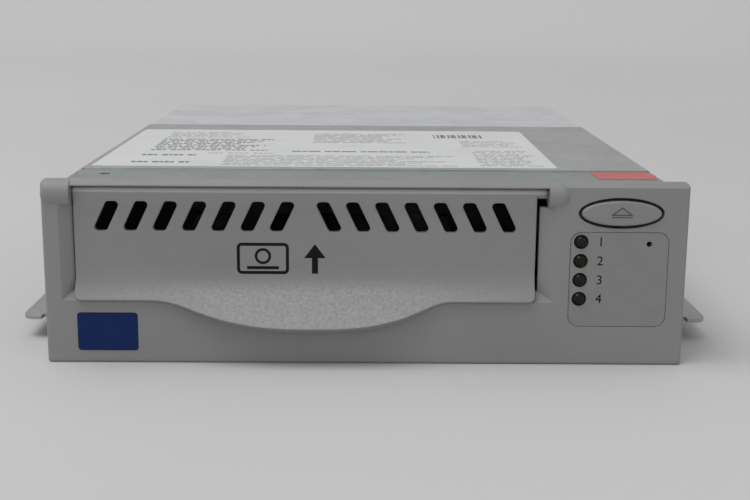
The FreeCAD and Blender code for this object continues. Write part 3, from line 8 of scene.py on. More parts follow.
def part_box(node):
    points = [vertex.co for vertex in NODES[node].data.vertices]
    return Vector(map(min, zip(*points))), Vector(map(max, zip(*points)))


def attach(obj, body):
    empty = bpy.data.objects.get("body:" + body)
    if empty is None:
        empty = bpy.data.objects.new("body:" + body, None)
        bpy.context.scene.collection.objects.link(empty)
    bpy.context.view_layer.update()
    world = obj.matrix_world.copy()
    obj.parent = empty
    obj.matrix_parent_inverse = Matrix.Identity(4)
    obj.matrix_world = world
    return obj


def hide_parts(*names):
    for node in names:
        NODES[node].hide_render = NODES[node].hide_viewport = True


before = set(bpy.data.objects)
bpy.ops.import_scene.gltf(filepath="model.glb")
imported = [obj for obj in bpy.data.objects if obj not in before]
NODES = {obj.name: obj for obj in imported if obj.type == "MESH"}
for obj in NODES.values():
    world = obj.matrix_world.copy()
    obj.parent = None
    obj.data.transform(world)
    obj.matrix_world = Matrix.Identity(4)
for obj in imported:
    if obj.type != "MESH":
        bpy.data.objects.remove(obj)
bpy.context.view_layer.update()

# Looks of the data tape drive: materials for every CAD node, printed and stuck-on details,
# the lamps' lenses, the floor, soft studio light and the camera.
# Millimetre places are x to the right, depth back from the bezel's front face, z up.

MM = 0.001
FILM_INSET = 0.06                               # the lamp panel's film stands back by this
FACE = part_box("lamp_panel")[0].y - FILM_INSET * MM  # the bezel's front face
COVER_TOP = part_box("front_cover")[1].z / MM
BAND_END, BAND_DROP = 34.8, 0.35                # the front cover's lower band
LIP_MIDDLE, LIP_TOP, LIP_ANGLE = -14, 19.9, 33  # the door's scooped lip
TOP_HIGHLIGHT_Z = 40.4                                      # height of the painted highlight along the door's top edge; painted light fades in over 4 mm below it


def at(x, depth, z):
    """A point of the shared frame from a place in millimetres."""
    return Vector((x * MM, FACE + depth * MM, z * MM))


# ---------------------------------------------------------------- materials

def srgb(*levels):
    """Linear colour from 0-255 display levels; one level gives a grey."""
    if len(levels) == 1:
        levels = levels * 3
    values = [level / 255 for level in levels]
    return tuple(v / 12.92 if v <= 0.04045 else ((v + 0.055) / 1.055) ** 2.4 for v in values) + (1,)


BEZEL_GREY, FILM_GREY = srgb(143), srgb(137)


class Shader:
    """A material's node tree with short calls for the nodes used here."""

    def __init__(self, name, colour, roughness, metallic=0):
        self.material = bpy.data.materials.new(name)
        self.material.use_nodes = True
        self.tree = self.material.node_tree
        self.bsdf = self.tree.nodes["Principled BSDF"]
        self.bsdf.inputs["Base Color"].default_value = colour
        self.bsdf.inputs["Roughness"].default_value = roughness
        self.bsdf.inputs["Metallic"].default_value = metallic
        self.place = self.node("ShaderNodeTexCoord").outputs["Object"]
        self.normal = None

    def node(self, kind, **settings):
        node = self.tree.nodes.new(kind)
        for key, value in settings.items():
            setattr(node, key, value)
        return node

    def link(self, source, target):
        self.tree.links.new(source, target)

    def stretched(self, x, y, z):
        """The piece's coordinates scaled along each axis, for brushed or rolled grain."""
        mapping = self.node("ShaderNodeMapping")
        mapping.inputs["Scale"].default_value = (x, y, z)
        self.link(self.place, mapping.inputs["Vector"])
        return mapping.outputs["Vector"]

    def noise(self, size, detail=2, roughness=0.5, vector=None):
        """Noise whose grains are about size millimetres across."""
        node = self.node("ShaderNodeTexNoise")
        node.inputs["Scale"].default_value = 1000 / size
        node.inputs["Detail"].default_value = detail
        node.inputs["Roughness"].default_value = roughness
        self.link(vector or self.place, node.inputs["Vector"])
        return node.outputs["Fac"]

    def span(self, value, low, high, to_low, to_high):
        """Maps a value from one range to another, clamped."""
        node = self.node("ShaderNodeMapRange")
        for key, number in (("From Min", low), ("From Max", high), ("To Min", to_low), ("To Max", to_high)):
            node.inputs[key].default_value = number
        self.link(value, node.inputs["Value"])
        return node.outputs["Result"]

    def mix(self, factor, one, two, blend="MIX"):
        """Mixes two colours; each is a colour or a socket, and so is the factor."""
        node = self.node("ShaderNodeMix", data_type="RGBA", blend_type=blend)
        for key, value in (("Factor", factor), ("A", one), ("B", two)):
            socket = next(s for s in node.inputs if s.name == key and s.enabled)
            if hasattr(value, "links"):
                self.link(value, socket)
            else:
                socket.default_value = value
        return next(s for s in node.outputs if s.enabled)

    def paint(self, socket):
        self.link(socket, self.bsdf.inputs["Base Color"])

    def painted(self):
        """The socket that the base colour comes from so far."""
        return self.bsdf.inputs["Base Color"].links[0].from_socket

    def rough(self, socket):
        self.link(socket, self.bsdf.inputs["Roughness"])

    def bump(self, height, depth, strength=1.0):
        """Adds relief of a height map, depth in millimetres, on top of what is there."""
        node = self.node("ShaderNodeBump")
        node.inputs["Distance"].default_value = depth * MM
        node.inputs["Strength"].default_value = strength
        self.link(height, node.inputs["Height"])
        if self.normal:
            self.link(self.normal, node.inputs["Normal"])
        self.normal = node.outputs["Normal"]
        self.link(self.normal, self.bsdf.inputs["Normal"])

    def soft_edges(self, radius):
        """Rounds the shading over sharp edges by a radius in millimetres."""
        node = self.node("ShaderNodeBevel", samples=6)
        node.inputs["Radius"].default_value = radius * MM
        self.normal = node.outputs["Normal"]
        self.link(self.normal, self.bsdf.inputs["Normal"])

    def axis(self, letter):
        """A coordinate of the piece, in millimetres."""
        split = self.node("ShaderNodeSeparateXYZ")
        self.link(self.place, split.inputs["Vector"])
        scaled = self.node("ShaderNodeMath", operation="DIVIDE")
        scaled.inputs[1].default_value = MM
        self.link(split.outputs[letter], scaled.inputs[0])
        return scaled.outputs["Value"]

    def front_facing(self):
        """A mask that is 1 where the piece's own surface faces forward."""
        geometry = self.node("ShaderNodeNewGeometry")
        own = self.node("ShaderNodeVectorTransform", vector_type="NORMAL", convert_from="WORLD",
                        convert_to="OBJECT")
        split = self.node("ShaderNodeSeparateXYZ")
        self.link(geometry.outputs["True Normal"], own.inputs["Vector"])
        self.link(own.outputs["Vector"], split.inputs["Vector"])
        return self.span(split.outputs["Y"], -0.6, -0.8, 0, 1)

    def times(self, first, *others):
        """The product of several masks."""
        for other in others:
            product = self.node("ShaderNodeMath", operation="MULTIPLY")
            self.link(first, product.inputs[0])
            self.link(other, product.inputs[1])
            first = product.outputs["Value"]
        return first

    def worn_edges(self, radius):
        """A mask that is 1 on sharp edges and 0 on flats."""
        node = self.node("ShaderNodeBevel", samples=6)
        node.inputs["Radius"].default_value = radius * MM
        aligned = self.node("ShaderNodeVectorMath", operation="DOT_PRODUCT")
        geometry = self.node("ShaderNodeNewGeometry")
        self.link(node.outputs["Normal"], aligned.inputs[0])
        self.link(geometry.outputs["True Normal"], aligned.inputs[1])
        return self.span(aligned.outputs["Value"], 0.97, 0.8, 0, 1)


def moulded_plastic(name, colour, roughness, grain=0.5, relief=0.02, edge=0.25, shape=None):
    """Spark-eroded moulding: fine grain, slight clouding, paler worn edges.

    shape, if given, changes the shading normal before the grain is added.
    """
    shader = Shader(name, colour, roughness)
    shader.soft_edges(edge)
    if shape:
        shape(shader)
    fine = shader.noise(grain, 2, 0.55)
    clouds = shader.noise(28, 3, 0.5)
    pale = tuple(min(1, c * 1.1) for c in colour[:3]) + (1,)
    deep = tuple(c * 0.93 for c in colour[:3]) + (1,)
    tone = shader.mix(shader.span(clouds, 0.35, 0.65, 0, 1), deep, colour)
    tone = shader.mix(shader.span(fine, 0.4, 0.75, 0, 0.35), tone, pale)
    shader.paint(shader.mix(shader.span(shader.worn_edges(edge), 0, 1, 0, 0.45), tone, pale))
    shader.rough(shader.span(fine, 0.3, 0.7, roughness + 0.06, roughness - 0.06))
    shader.bump(fine, relief, 0.6)
    return shader


def blend_crease(shader):
    """Blends the door's face softly into its scooped lip, on the surfaces that face the front."""
    lean = math.radians(LIP_ANGLE / 2)
    turn = shader.node("ShaderNodeVectorTransform", vector_type="NORMAL", convert_from="OBJECT",
                       convert_to="WORLD")
    turn.inputs["Vector"].default_value = (0, -math.cos(lean), math.sin(lean))
    near = shader.times(shader.span(shader.axis("Z"), LIP_TOP - 3.5, LIP_TOP, 0, 1),
                        shader.span(shader.axis("Z"), LIP_TOP, LIP_TOP + 3.5, 1, 0), shader.front_facing())
    blend = shader.node("ShaderNodeMix", data_type="VECTOR")
    for key, source in (("Factor", near), ("A", shader.normal), ("B", turn.outputs["Vector"])):
        shader.link(source, next(s for s in blend.inputs if s.name == key and s.enabled))
    unit = shader.node("ShaderNodeVectorMath", operation="NORMALIZE")
    shader.link(next(s for s in blend.outputs if s.enabled), unit.inputs[0])
    shader.normal = unit.outputs["Vector"]


def door_plastic():
    """The same moulding, with a painted sheen on the middle of the scooped lip, painted light on the face
    below its top edge and a painted highlight along the top edge.
    """
    shader = moulded_plastic("door_plastic", BEZEL_GREY, 0.52, edge=0.5, shape=blend_crease)
    moulded = shader.painted()
    from_middle = shader.node("ShaderNodeMath", operation="ABSOLUTE")
    across = shader.span(shader.axis("X"), LIP_MIDDLE - 60, LIP_MIDDLE + 60, -60, 60)
    shader.link(across, from_middle.inputs[0])
    # painted sheen: the middle of the scooped lip is painted paler, fading out towards its ends, where
    # light would glance off the slope
    painted_lip_sheen = shader.times(shader.span(shader.axis("Z"), LIP_TOP + 0.3, LIP_TOP - 2.5, 0, 1),
                          shader.span(from_middle.outputs["Value"], 20, 52, 1, 0.1), shader.front_facing())
    speckle = shader.noise(0.7, 3, 0.7)
    pale = shader.mix(shader.span(speckle, 0.4, 0.65, 0, 1), srgb(151), srgb(169))
    tone = shader.mix(painted_lip_sheen, moulded, pale)
    # painted light: the face is painted paler in the 4 mm below its top edge, over the shade that the
    # bezel's roof casts there
    tone = shader.mix(shader.span(shader.axis("Z"), TOP_HIGHLIGHT_Z - 4, TOP_HIGHLIGHT_Z, 0, 0.6), tone, srgb(168))
    # painted highlight: a pale line along the door's rounded top edge
    painted_top_highlight = shader.times(shader.span(shader.axis("Z"), TOP_HIGHLIGHT_Z - 0.25, TOP_HIGHLIGHT_Z + 0.05, 0, 0.85),
                       shader.front_facing())
    shader.paint(shader.mix(painted_top_highlight, tone, srgb(212)))
    return shader


def smooth_plastic(name, colour, roughness, shine=0.5):
    """Polished moulding with faint handling marks."""
    shader = Shader(name, colour, roughness)
    shader.bsdf.inputs["Specular IOR Level"].default_value = shine
    shader.soft_edges(0.12)
    marks = shader.noise(3.5, 4, 0.65)
    lighter = tuple(min(1, c * 1.15 + 0.005) for c in colour[:3]) + (1,)
    shader.paint(shader.mix(shader.span(marks, 0.45, 0.8, 0, 0.5), colour, lighter))
    shader.rough(shader.span(marks, 0.35, 0.7, roughness - 0.04, roughness + 0.1))
    shader.bump(marks, 0.006, 0.4)
    return shader


def sheet_metal(name, colour, roughness, spangle=0.0):
    """Rolled sheet: long fine lines, blotches of plating, brighter cut edges.

    spangle, if given, is the size in millimetres of the zinc's crystals.
    """
    shader = Shader(name, colour, roughness, metallic=0.75)
    shader.soft_edges(0.15)
    rolled = shader.noise(0.25, 3, 0.6, shader.stretched(1, 0.04, 1))
    blotch = shader.noise(16, 4, 0.6)
    deep = tuple(c * 0.84 for c in colour[:3]) + (1,)
    bright = tuple(min(1, c * 1.14) for c in colour[:3]) + (1,)
    tone = shader.mix(shader.span(blotch, 0.35, 0.65, 0, 1), deep, colour)
    tone = shader.mix(shader.span(rolled, 0.35, 0.75, 0, 0.5), tone, bright)
    if spangle:
        crystals = shader.node("ShaderNodeTexVoronoi")
        crystals.inputs["Scale"].default_value = 1000 / spangle
        shader.link(shader.place, crystals.inputs["Vector"])
        tone = shader.mix(0.1, tone, crystals.outputs["Color"], "SOFT_LIGHT")
    shader.paint(shader.mix(shader.span(shader.worn_edges(0.15), 0, 1, 0, 0.5), tone, bright))
    shader.rough(shader.span(rolled, 0.3, 0.7, roughness - 0.05, roughness + 0.08))
    shader.bump(rolled, 0.003, 0.5)
    return shader


def front_cover_metal():
    """Plated sheet whose lower band along the front has a cooler, darker tone."""
    shader = sheet_metal("cover_steel", srgb(181, 182, 181), 0.42, spangle=2.5)
    plated = shader.painted()
    band_end = at(0, BAND_END, 0).y / MM
    in_band = shader.span(shader.axis("Y"), band_end, band_end - 0.5, 0, 1)
    shader.paint(shader.mix(in_band, plated, shader.mix(0.8, plated, srgb(214, 226, 221), "MULTIPLY")))
    return shader


def cast_metal(name, colour, roughness):
    """Die-cast surface: orange-peel skin with darker flow marks."""
    shader = Shader(name, colour, roughness, metallic=0.7)
    shader.soft_edges(0.25)
    skin = shader.noise(0.9, 3, 0.6)
    flow = shader.noise(22, 4, 0.65, shader.stretched(1, 0.35, 1))
    deep = tuple(c * 0.78 for c in colour[:3]) + (1,)
    shader.paint(shader.mix(shader.span(flow, 0.3, 0.7, 0, 1), deep, colour))
    shader.rough(shader.span(skin, 0.3, 0.7, roughness - 0.06, roughness + 0.1))
    shader.bump(skin, 0.02, 0.6)
    return shader


def turned_metal(name, colour, roughness):
    """Machined or plated small part with fine tool marks."""
    shader = Shader(name, colour, roughness, metallic=1)
    shader.soft_edges(0.08)
    marks = shader.noise(0.12, 2, 0.6, shader.stretched(0.2, 0.2, 1))
    cloud = shader.noise(4, 3, 0.6)
    deep = tuple(c * 0.8 for c in colour[:3]) + (1,)
    shader.paint(shader.mix(shader.span(cloud, 0.35, 0.7, 0, 0.8), colour, deep))
    shader.rough(shader.span(marks, 0.3, 0.7, roughness - 0.04, roughness + 0.1))
    shader.bump(marks, 0.002, 0.5)
    return shader


def circuit_board():
    """Green solder mask with paler tracks and tinned pads."""
    shader = Shader("circuit_board", srgb(34, 92, 58), 0.35)
    bricks = shader.node("ShaderNodeTexBrick", offset=0.37)
    for key, value in (("Scale", 210), ("Mortar Size", 0.035), ("Brick Width", 0.9), ("Row Height", 0.22)):
        bricks.inputs[key].default_value = value
    bricks.inputs["Color1"].default_value = srgb(30, 84, 52)
    bricks.inputs["Color2"].default_value = srgb(38, 98, 62)
    bricks.inputs["Mortar"].default_value = srgb(66, 132, 84)
    shader.link(shader.place, bricks.inputs["Vector"])
    dots = shader.node("ShaderNodeTexVoronoi")
    dots.inputs["Scale"].default_value = 380
    shader.link(shader.place, dots.inputs["Vector"])
    pads = shader.span(dots.outputs["Distance"], 0.18, 0.13, 0, 0.8)
    shader.paint(shader.mix(pads, bricks.outputs["Color"], srgb(190, 186, 170)))
    shader.rough(shader.span(bricks.outputs["Fac"], 0, 1, 0.32, 0.5))
    shader.bump(bricks.outputs["Fac"], 0.03, 0.5)
    return shader


def printed(name, colour, roughness=0.6, shine=0.5):
    """Matt ink or paper with slightly uneven cover."""
    shader = Shader(name, colour, roughness)
    shader.bsdf.inputs["Specular IOR Level"].default_value = shine
    uneven = shader.noise(0.5, 3, 0.7)
    cloud = shader.noise(18, 2, 0.5)
    weak = tuple(min(1, c * 1.12 + 0.01) for c in colour[:3]) + (1,)
    tone = shader.mix(shader.span(uneven, 0.45, 0.75, 0, 0.6), colour, weak)
    deep = tuple(c * 0.94 for c in colour[:3]) + (1,)
    shader.paint(shader.mix(shader.span(cloud, 0.4, 0.7, 0, 0.7), tone, deep))
    shader.rough(shader.span(uneven, 0.3, 0.7, roughness - 0.08, roughness + 0.08))
    return shader


contact_metal = turned_metal("contact_metal", srgb(214, 196, 140), 0.28)
MATERIALS = {
    moulded_plastic("bezel_plastic", BEZEL_GREY, 0.52): ("bezel",),
    door_plastic(): ("cartridge_door",),
    moulded_plastic("button_plastic", srgb(141), 0.42, grain=0.3, relief=0.005):
        ("eject_button", "eject_plunger", "reset_plunger"),
    smooth_plastic("panel_film", FILM_GREY, 0.4): ("lamp_panel",),
    smooth_plastic("badge_enamel", srgb(23, 44, 95), 0.34, 0.1): ("badge_plate",),
    turned_metal("spring_wire", srgb(190, 190, 190), 0.25): ("door_spring",),
    smooth_plastic("black_moulding", srgb(26, 26, 27), 0.4):
        ("eject_switch", "reset_switch", "jumper_block", "scsi_connector"),
    smooth_plastic("natural_nylon", srgb(222, 216, 198), 0.45): ("power_connector",),
    circuit_board(): ("front_board", "main_board"),
    smooth_plastic("chip_compound", srgb(34, 34, 36), 0.5): ("board_chips",),
    front_cover_metal(): ("front_cover",),
    sheet_metal("rear_cover_steel", srgb(224, 225, 229), 0.4, spangle=2.5):
        ("rear_cover", "rear_panel"),
    sheet_metal("rail_steel", srgb(172, 174, 172), 0.42): ("rail_left", "rail_right"),
    cast_metal("cast_chassis", srgb(170, 172, 172), 0.5): ("chassis",),
    sheet_metal("deck_sheet", srgb(196, 197, 199), 0.35):
        ("deck_plate", "head_bracket", "motor_bracket"),
    sheet_metal("cage_steel", srgb(150, 152, 152), 0.32):
        ("cartridge_cage", "guide_plate_left", "guide_plate_right", "slide_plate_left",
         "slide_plate_right", "slide_tie_bar"),
    turned_metal("bright_zinc", srgb(205, 205, 200), 0.3):
        ("cover_screws", "rail_screws", "deck_screws", "board_screws"),
    turned_metal("ground_steel", srgb(214, 214, 216), 0.18):
        ("cage_pins", "head_rods", "roller_posts", "gear_post"),
    turned_metal("motor_cans", srgb(140, 142, 146), 0.38):
        ("supply_motor", "takeup_motor", "loader_motor", "voice_coil_magnet"),
    turned_metal("hub_metal", srgb(188, 190, 193), 0.3): ("supply_hub", "head_carriage"),
    smooth_plastic("reel_plastic", srgb(224, 224, 216), 0.5): ("takeup_reel",),
    smooth_plastic("roller_plastic", srgb(60, 60, 63), 0.25):
        ("guide_roller_1", "guide_roller_2", "guide_roller_3", "guide_roller_4"),
    smooth_plastic("gear_nylon", srgb(226, 222, 208), 0.45): ("loader_gear", "loader_pinion"),
    smooth_plastic("head_ceramic", srgb(40, 40, 46), 0.15): ("tape_head",),
    turned_metal("coil_copper", srgb(186, 112, 66), 0.35): ("voice_coil",),
    contact_metal: ("power_pins",),
}
for finish, names in MATERIALS.items():
    for name in names:
        slots = NODES[name].data.materials
        for index in range(max(1, len(slots))):
            if len(slots) > index:
                slots[index] = finish.material
            else:
                slots.append(finish.material)

smoky_lens = smooth_plastic("smoky_lens", srgb(24, 24, 17), 0.12, 0.2)
black_ink = printed("black_ink", srgb(14), 0.5, 0.15)
grey_ink = printed("grey_ink", srgb(118, 120, 119))
soft_ink = printed("soft_ink", srgb(168, 170, 169))
mark_ink = printed("mark_grey", srgb(78), 0.5)
label_paper = printed("label_paper", srgb(211, 212, 212), 0.5)
seal_film = printed("seal_film", srgb(190, 84, 90), 0.4)


# ---------------------------------------------------------------- building pieces

def finish_piece(name, data, finish, body):
    """A piece with its finish, riding on a body, smooth but for edges over 35 degrees."""
    piece = bpy.data.objects.new(name, data)
    bpy.context.scene.collection.objects.link(piece)
    data.materials.append(finish.material)
    for face in data.polygons:
        face.use_smooth = True
    data.set_sharp_from_angle(angle=math.radians(35))
    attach(piece, body)
    return piece


def modelled(name, mesh, finish, body):
    """Turns a finished bmesh into a piece."""
    bmesh.ops.recalc_face_normals(mesh, faces=mesh.faces)
    data = bpy.data.meshes.new(name)
    mesh.to_mesh(data)
    mesh.free()
    return finish_piece(name, data, finish, body)


def rounded_outline(x0, x1, y0, y1, radius, steps=6):
    """Corner points of a rectangle with round corners, anticlockwise."""
    corners = ((x1 - radius, y0 + radius, -90), (x1 - radius, y1 - radius, 0),
               (x0 + radius, y1 - radius, 90), (x0 + radius, y0 + radius, 180))
    return [(cx + radius * math.cos(math.radians(start + 90 * i / steps)),
             cy + radius * math.sin(math.radians(start + 90 * i / steps)))
            for cx, cy, start in corners for i in range(steps + 1)]


def ellipse_outline(x, y, across, up, steps):
    return [(x + across * math.cos(2 * math.pi * i / steps), y + up * math.sin(2 * math.pi * i / steps))
            for i in range(steps)]


def box_outline(x0, x1, y0, y1):
    return [(x0, y0), (x1, y0), (x1, y1), (x0, y1)]


def add_prism(mesh, outline, place, low, high):
    """Adds a plate: place(u, v, w) gives a point in space, w runs from low to high."""
    bottom = [mesh.verts.new(place(u, v, low)) for u, v in outline]
    top = [mesh.verts.new(place(u, v, high)) for u, v in outline]
    mesh.faces.new(bottom[::-1])
    mesh.faces.new(top)
    for i, corner in enumerate(bottom):
        mesh.faces.new((bottom[i - 1], corner, top[i], top[i - 1]))


def plates(name, outlines, place, low, high, finish, body):
    """One piece made of flat plates with the outlines given."""
    mesh = bmesh.new()
    for outline in outlines:
        add_prism(mesh, outline, place, low, high)
    return modelled(name, mesh, finish, body)


def on_top(x, depth, height):
    return at(x, depth, COVER_TOP + height)


def on_face(recess):
    """Places u, v on a vertical face that stands back by recess, w towards the viewer."""
    return lambda x, z, height: at(x, recess - height, z)


def ring_edge(ring, i):
    """The edge of a ring that ends at corner i, or the only corner of a ring on the axis."""
    return [ring[i - 1], ring[i]] if len(ring) > 1 else [ring[0]]


def turned(name, centres, profile, finish, body):
    """Solids of revolution about axes that point at the viewer; profile is (radius, height)."""
    steps = 40
    mesh = bmesh.new()
    for x, depth, z in centres:
        rings = []
        for radius, height in profile:
            corners = [(0, 0)] if radius == 0 else ellipse_outline(0, 0, radius, radius, steps)
            rings.append([mesh.verts.new(at(x + u, depth - height, z + v)) for u, v in corners])
        for one, two in zip(rings, rings[1:]):
            for i in range(steps):
                mesh.faces.new(ring_edge(one, i) + ring_edge(two, i)[::-1])
    return modelled(name, mesh, finish, body)


# ---------------------------------------------------------------- status lamps

LAMP_FLANGE, FLANGE_LENGTH, LAMP_RADIUS, LAMP_LENGTH = 1.9, 1.2, 1.6, 9.8
BOARD_DEPTH = 9                                 # front of the board that carries the lamps
lamp_low, lamp_high = (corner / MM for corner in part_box("status_lamps"))
lamp_x = (lamp_low.x + lamp_high.x) / 2
lamp_pitch = (lamp_high.z - lamp_low.z - 2 * LAMP_FLANGE) / 3
lamp_heights = [lamp_high.z - LAMP_FLANGE - lamp_pitch * i for i in range(4)]
dome_start = LAMP_LENGTH - LAMP_RADIUS
dome = [(0, 0), (LAMP_FLANGE, 0), (LAMP_FLANGE, FLANGE_LENGTH), (LAMP_RADIUS, FLANGE_LENGTH),
        (LAMP_RADIUS, dome_start)]
dome += [(LAMP_RADIUS * math.cos(math.radians(a)), dome_start + LAMP_RADIUS * math.sin(math.radians(a)))
         for a in range(10, 90, 10)]
dome += [(0, LAMP_LENGTH)]
lamps = turned("lamp_domes", [(lamp_x, BOARD_DEPTH, z) for z in lamp_heights], dome, smoky_lens,
               "drive")
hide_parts("status_lamps")


# ---------------------------------------------------------------- label and seal on the cover

PAPER, INK = 0.12, 0.03                         # thickness of the label and of its print
plates("cover_label", [rounded_outline(-71, 49.7, 37.6, 120, 1.2)], on_top, 0, PAPER, label_paper,
       "drive")


def text_rows(x0, x1, first, pitch, count, height, widths):
    """Rows of short bars for lines of small print; widths repeat along a row, and minus is a gap."""
    space = 0.35
    bars = []
    for row in range(count):
        depth = first + row * pitch
        end = x1 - (row * 5 % 7) * (x1 - x0) / 24
        x = x0
        step = row * 3
        while x < end - 0.4:
            width = widths[step % len(widths)]
            if width > 0:
                bars.append(box_outline(x, min(x + width, end), depth, depth + height))
            x += abs(width) + space
            step += 1
    return bars


LETTERS = (1.1, 1.5, 0.9, -0.6, 1.7, 0.8, 1.2, 1.0, -0.6, 1.4, 0.9)
WORDS = (2.6, 1.2, 3.4, -0.5, 1.8, 2.2, 4.1, -0.7, 1.5, 2.9)
# blocks of print: x from and to, depth of the first row, pitch, rows, bar height, widths
HEADINGS = ((-62, -46.5, 44, 9, 1, 2.4, LETTERS), (-61.6, -46.8, 57.8, 9, 1, 2.4, LETTERS),
            (-61, -28, 69, 3.5, 8, 1.7, LETTERS), (-20.8, 18, 67, 9, 1, 1.9, WORDS))
SMALL_PRINT = ((-61, -36, 99.5, 3.1, 5, 1.3, LETTERS), (-38, 24, 40, 2.6, 8, 1.1, WORDS),
               (30, 46.5, 41, 2.9, 11, 1.3, LETTERS), (-16, 12, 88, 3, 8, 1.4, WORDS),
               (-44, -26, 62.5, 9, 1, 1.6, LETTERS), (28, 46, 80, 3.1, 5, 1.2, WORDS))
code_bars = [box_outline(21 + 1.1 * i, 21.4 + 1.1 * i + 0.3 * (i % 3), 101, 109) for i in range(14)]
dark_print = [bar for block in HEADINGS for bar in text_rows(*block)] + code_bars
light_print = [bar for block in SMALL_PRINT for bar in text_rows(*block)]
plates("label_print", dark_print, on_top, PAPER, PAPER + INK, grey_ink, "drive")
plates("label_small_print", light_print, on_top, PAPER, PAPER + INK, soft_ink, "drive")
plates("seal_sticker", [rounded_outline(57.3, 72.2, 22, 34, 0.6)], on_top, -BAND_DROP, 0.1 - BAND_DROP,
       seal_film, "drive")


# ---------------------------------------------------------------- printing on door, panel and button

def strip(points, width):
    """Short plates along a closed line, mitred where it bends."""
    sides = []
    for i, (u, v) in enumerate(points):
        before, after = points[i - 1], points[(i + 1) % len(points)]
        first = Vector((u - before[0], v - before[1])).normalized()
        second = Vector((after[0] - u, after[1] - v)).normalized()
        normal = Vector((-first.y - second.y, first.x + second.x)).normalized()
        reach = width / 2 / max(0.3, normal.dot(Vector((-first.y, first.x))))
        over, up = normal.x * reach, normal.y * reach
        sides.append(((u - over, v - up), (u + over, v + up)))
    return [[a[0], b[0], b[1], a[1]] for a, b in zip(sides, sides[1:] + sides[:1])]


# a plain cartridge pictogram and an arrow that shows which way it goes in
DOOR_FACE = 1.8                                 # how far the door's face stands back
cartridge = strip(rounded_outline(-29.6, -18.2, 21.5, 28.2, 0.8, 4), 0.7)
cartridge += [box_outline(-27.6, -20.2, 22.3, 23.0)]
cartridge += strip(ellipse_outline(-23.9, 25.4, 1.6, 1.6, 24), 0.6)
arrow = [box_outline(-12.5, -11.1, 21.3, 25.0), [(-14.3, 25.0), (-9.3, 25.0), (-11.8, 28.3)]]
plates("door_pictogram", cartridge + arrow, on_face(DOOR_FACE), 0, 0.04, black_ink, "door")

# eject mark: a triangle above a bar, drawn as thin raised lines
BUTTON_X, BUTTON_Z, BUTTON_PROUD = 58.85, 36.3, 0.6
triangle = [(BUTTON_X - 2.2, BUTTON_Z - 0.3), (BUTTON_X + 2.2, BUTTON_Z - 0.3), (BUTTON_X, BUTTON_Z + 1.4)]
bar = box_outline(BUTTON_X - 2.4, BUTTON_X + 2.4, BUTTON_Z - 0.95, BUTTON_Z - 0.75)
plates("eject_mark", strip(triangle, 0.26) + [bar], on_face(-BUTTON_PROUD), 0, 0.06, mark_ink,
       "eject_key")


FIGURE_X, FIGURE_SIZE = 53.6, 3.1
FIGURE_HALF = 0.015                             # half the thickness of a figure


def numeral(text, x, z, size):
    """A figure from the outline font, as a flat mesh on the lamp panel."""
    curve = bpy.data.curves.new(f"figure_{text}", "FONT")
    curve.body = text
    curve.size = size * MM
    curve.extrude = FIGURE_HALF * MM
    curve.resolution_u = 3
    holder = bpy.data.objects.new(f"figure_{text}", curve)
    bpy.context.scene.collection.objects.link(holder)
    bpy.context.view_layer.update()
    data = bpy.data.meshes.new_from_object(holder.evaluated_get(bpy.context.evaluated_depsgraph_get()))
    bpy.data.objects.remove(holder)
    middle = at(x, FILM_INSET - FIGURE_HALF, z)
    data.transform(Matrix.Translation(middle) @ Matrix.Rotation(math.pi / 2, 4, "X"))
    data.materials.clear()
    return finish_piece(f"lamp_figure_{text}", data, black_ink, "drive")


for index, height in enumerate(lamp_heights, start=1):
    numeral(str(index), FIGURE_X, height - 1.0, FIGURE_SIZE)


# ---------------------------------------------------------------- contacts in the rear data socket

SOCKET_X, SOCKET_FLOOR, SOCKET_ROOF = 33, 27.2, 33.6
CONTACT_PITCH, CONTACT_COUNT, CONTACT_HIGH = 1.27, 34, 0.35
CONTACT_FRONT, CONTACT_LENGTH = 206.1, 5.2      # where the contacts start, and how far back they run
contact_plates = []
for low in (SOCKET_FLOOR, SOCKET_ROOF - CONTACT_HIGH):
    for i in range(CONTACT_COUNT):
        x = SOCKET_X + CONTACT_PITCH * (i - (CONTACT_COUNT - 1) / 2)
        contact_plates.append(box_outline(x - 0.3, x + 0.3, low, low + CONTACT_HIGH))
plates("data_contacts", contact_plates, lambda x, z, back: at(x, CONTACT_FRONT + back, z), 0,
       CONTACT_LENGTH, contact_metal, "drive")


# ---------------------------------------------------------------- floor, light and camera

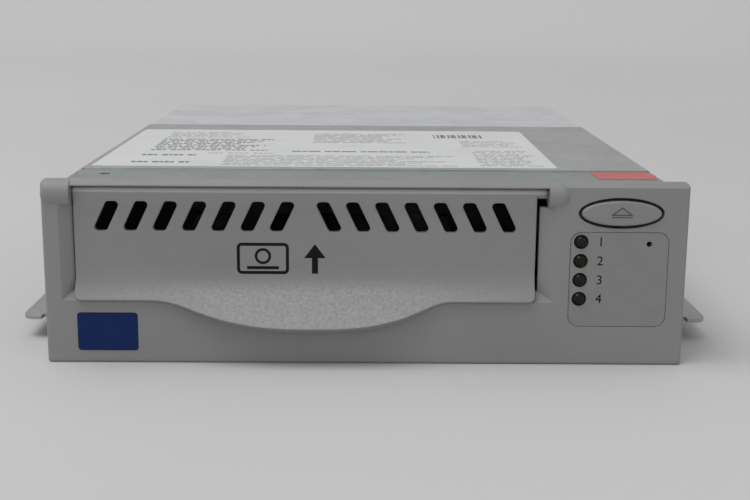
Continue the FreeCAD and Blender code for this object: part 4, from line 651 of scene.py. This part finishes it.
def sweep():
    """A pale floor that curves up into a backdrop far behind the drive."""
    wide, front, back, bend, height = 6, -7, 1.15, 0.5, 1.7
    path = [(front, 0), (back, 0)]
    path += [(back + bend * math.sin(a), bend - bend * math.cos(a)) for a in
             (math.radians(6 * i) for i in range(1, 16))]
    path += [(back + bend, height)]
    verts = [(x, y, z) for y, z in path for x in (-wide, wide)]
    faces = [(2 * i, 2 * i + 1, 2 * i + 3, 2 * i + 2) for i in range(len(path) - 1)]
    data = bpy.data.meshes.new("floor_sweep")
    data.from_pydata(verts, [], faces)
    for face in data.polygons:
        face.use_smooth = True
    floor = bpy.data.objects.new("floor_sweep", data)
    bpy.context.scene.collection.objects.link(floor)
    shader = Shader("floor_paper", srgb(204), 0.75)
    distance = shader.node("ShaderNodeVectorMath", operation="LENGTH")
    shader.link(shader.place, distance.inputs[0])
    far = shader.span(distance.outputs["Value"], 0.3, 1.3, 0, 1)
    cloud = shader.noise(260, 2, 0.5)
    near_tone = shader.mix(shader.span(cloud, 0.3, 0.7, 0, 1), srgb(202), srgb(206))
    shader.paint(shader.mix(far, near_tone, srgb(230)))
    data.materials.append(shader.material)


def area_light(name, place, aim, size, watts):
    data = bpy.data.lights.new(name, "AREA")
    data.shape = "RECTANGLE"
    data.size, data.size_y = size
    data.energy = watts
    lamp = bpy.data.objects.new(name, data)
    bpy.context.scene.collection.objects.link(lamp)
    lamp.location = place
    lamp.rotation_euler = (Vector(aim) - Vector(place)).to_track_quat("-Z", "Y").to_euler()


def daylight(strength):
    world = bpy.data.worlds.new("studio")
    bpy.context.scene.world = world
    world.use_nodes = True
    world.node_tree.nodes["Background"].inputs["Color"].default_value = (1, 1, 1, 1)
    world.node_tree.nodes["Background"].inputs["Strength"].default_value = strength


def camera():
    """The photograph's viewpoint, in front and a little above."""
    place, lens = at(-0.38, -277.83, 86.89), 59.04
    pitch, yaw, roll = (math.radians(a) for a in (12.087, 0.521, -0.442))
    right = Vector((1, 0, 0))
    up = Vector((0, math.sin(pitch), math.cos(pitch)))
    ahead = Vector((0, math.cos(pitch), -math.sin(pitch)))
    base = Matrix((right, up, ahead)) @ Matrix.Rotation(yaw, 3, "Z")
    rows = Matrix.Rotation(roll, 3, "Z") @ base
    data = bpy.data.cameras.new("camera")
    data.lens = lens
    data.sensor_width = 36
    data.clip_start = 0.01
    view = bpy.data.objects.new("camera", data)
    bpy.context.scene.collection.objects.link(view)
    turn = Matrix((rows[0], rows[1], -rows[2])).transposed().to_4x4()
    view.matrix_world = Matrix.Translation(place) @ turn
    bpy.context.scene.camera = view


sweep()
area_light("key_soft", (-0.5, -0.3, 1.25), (0, 0, 0.02), (1.0, 0.7), 8.0)
daylight(0.55)
camera()
bpy.context.scene.view_settings.view_transform = "Standard"
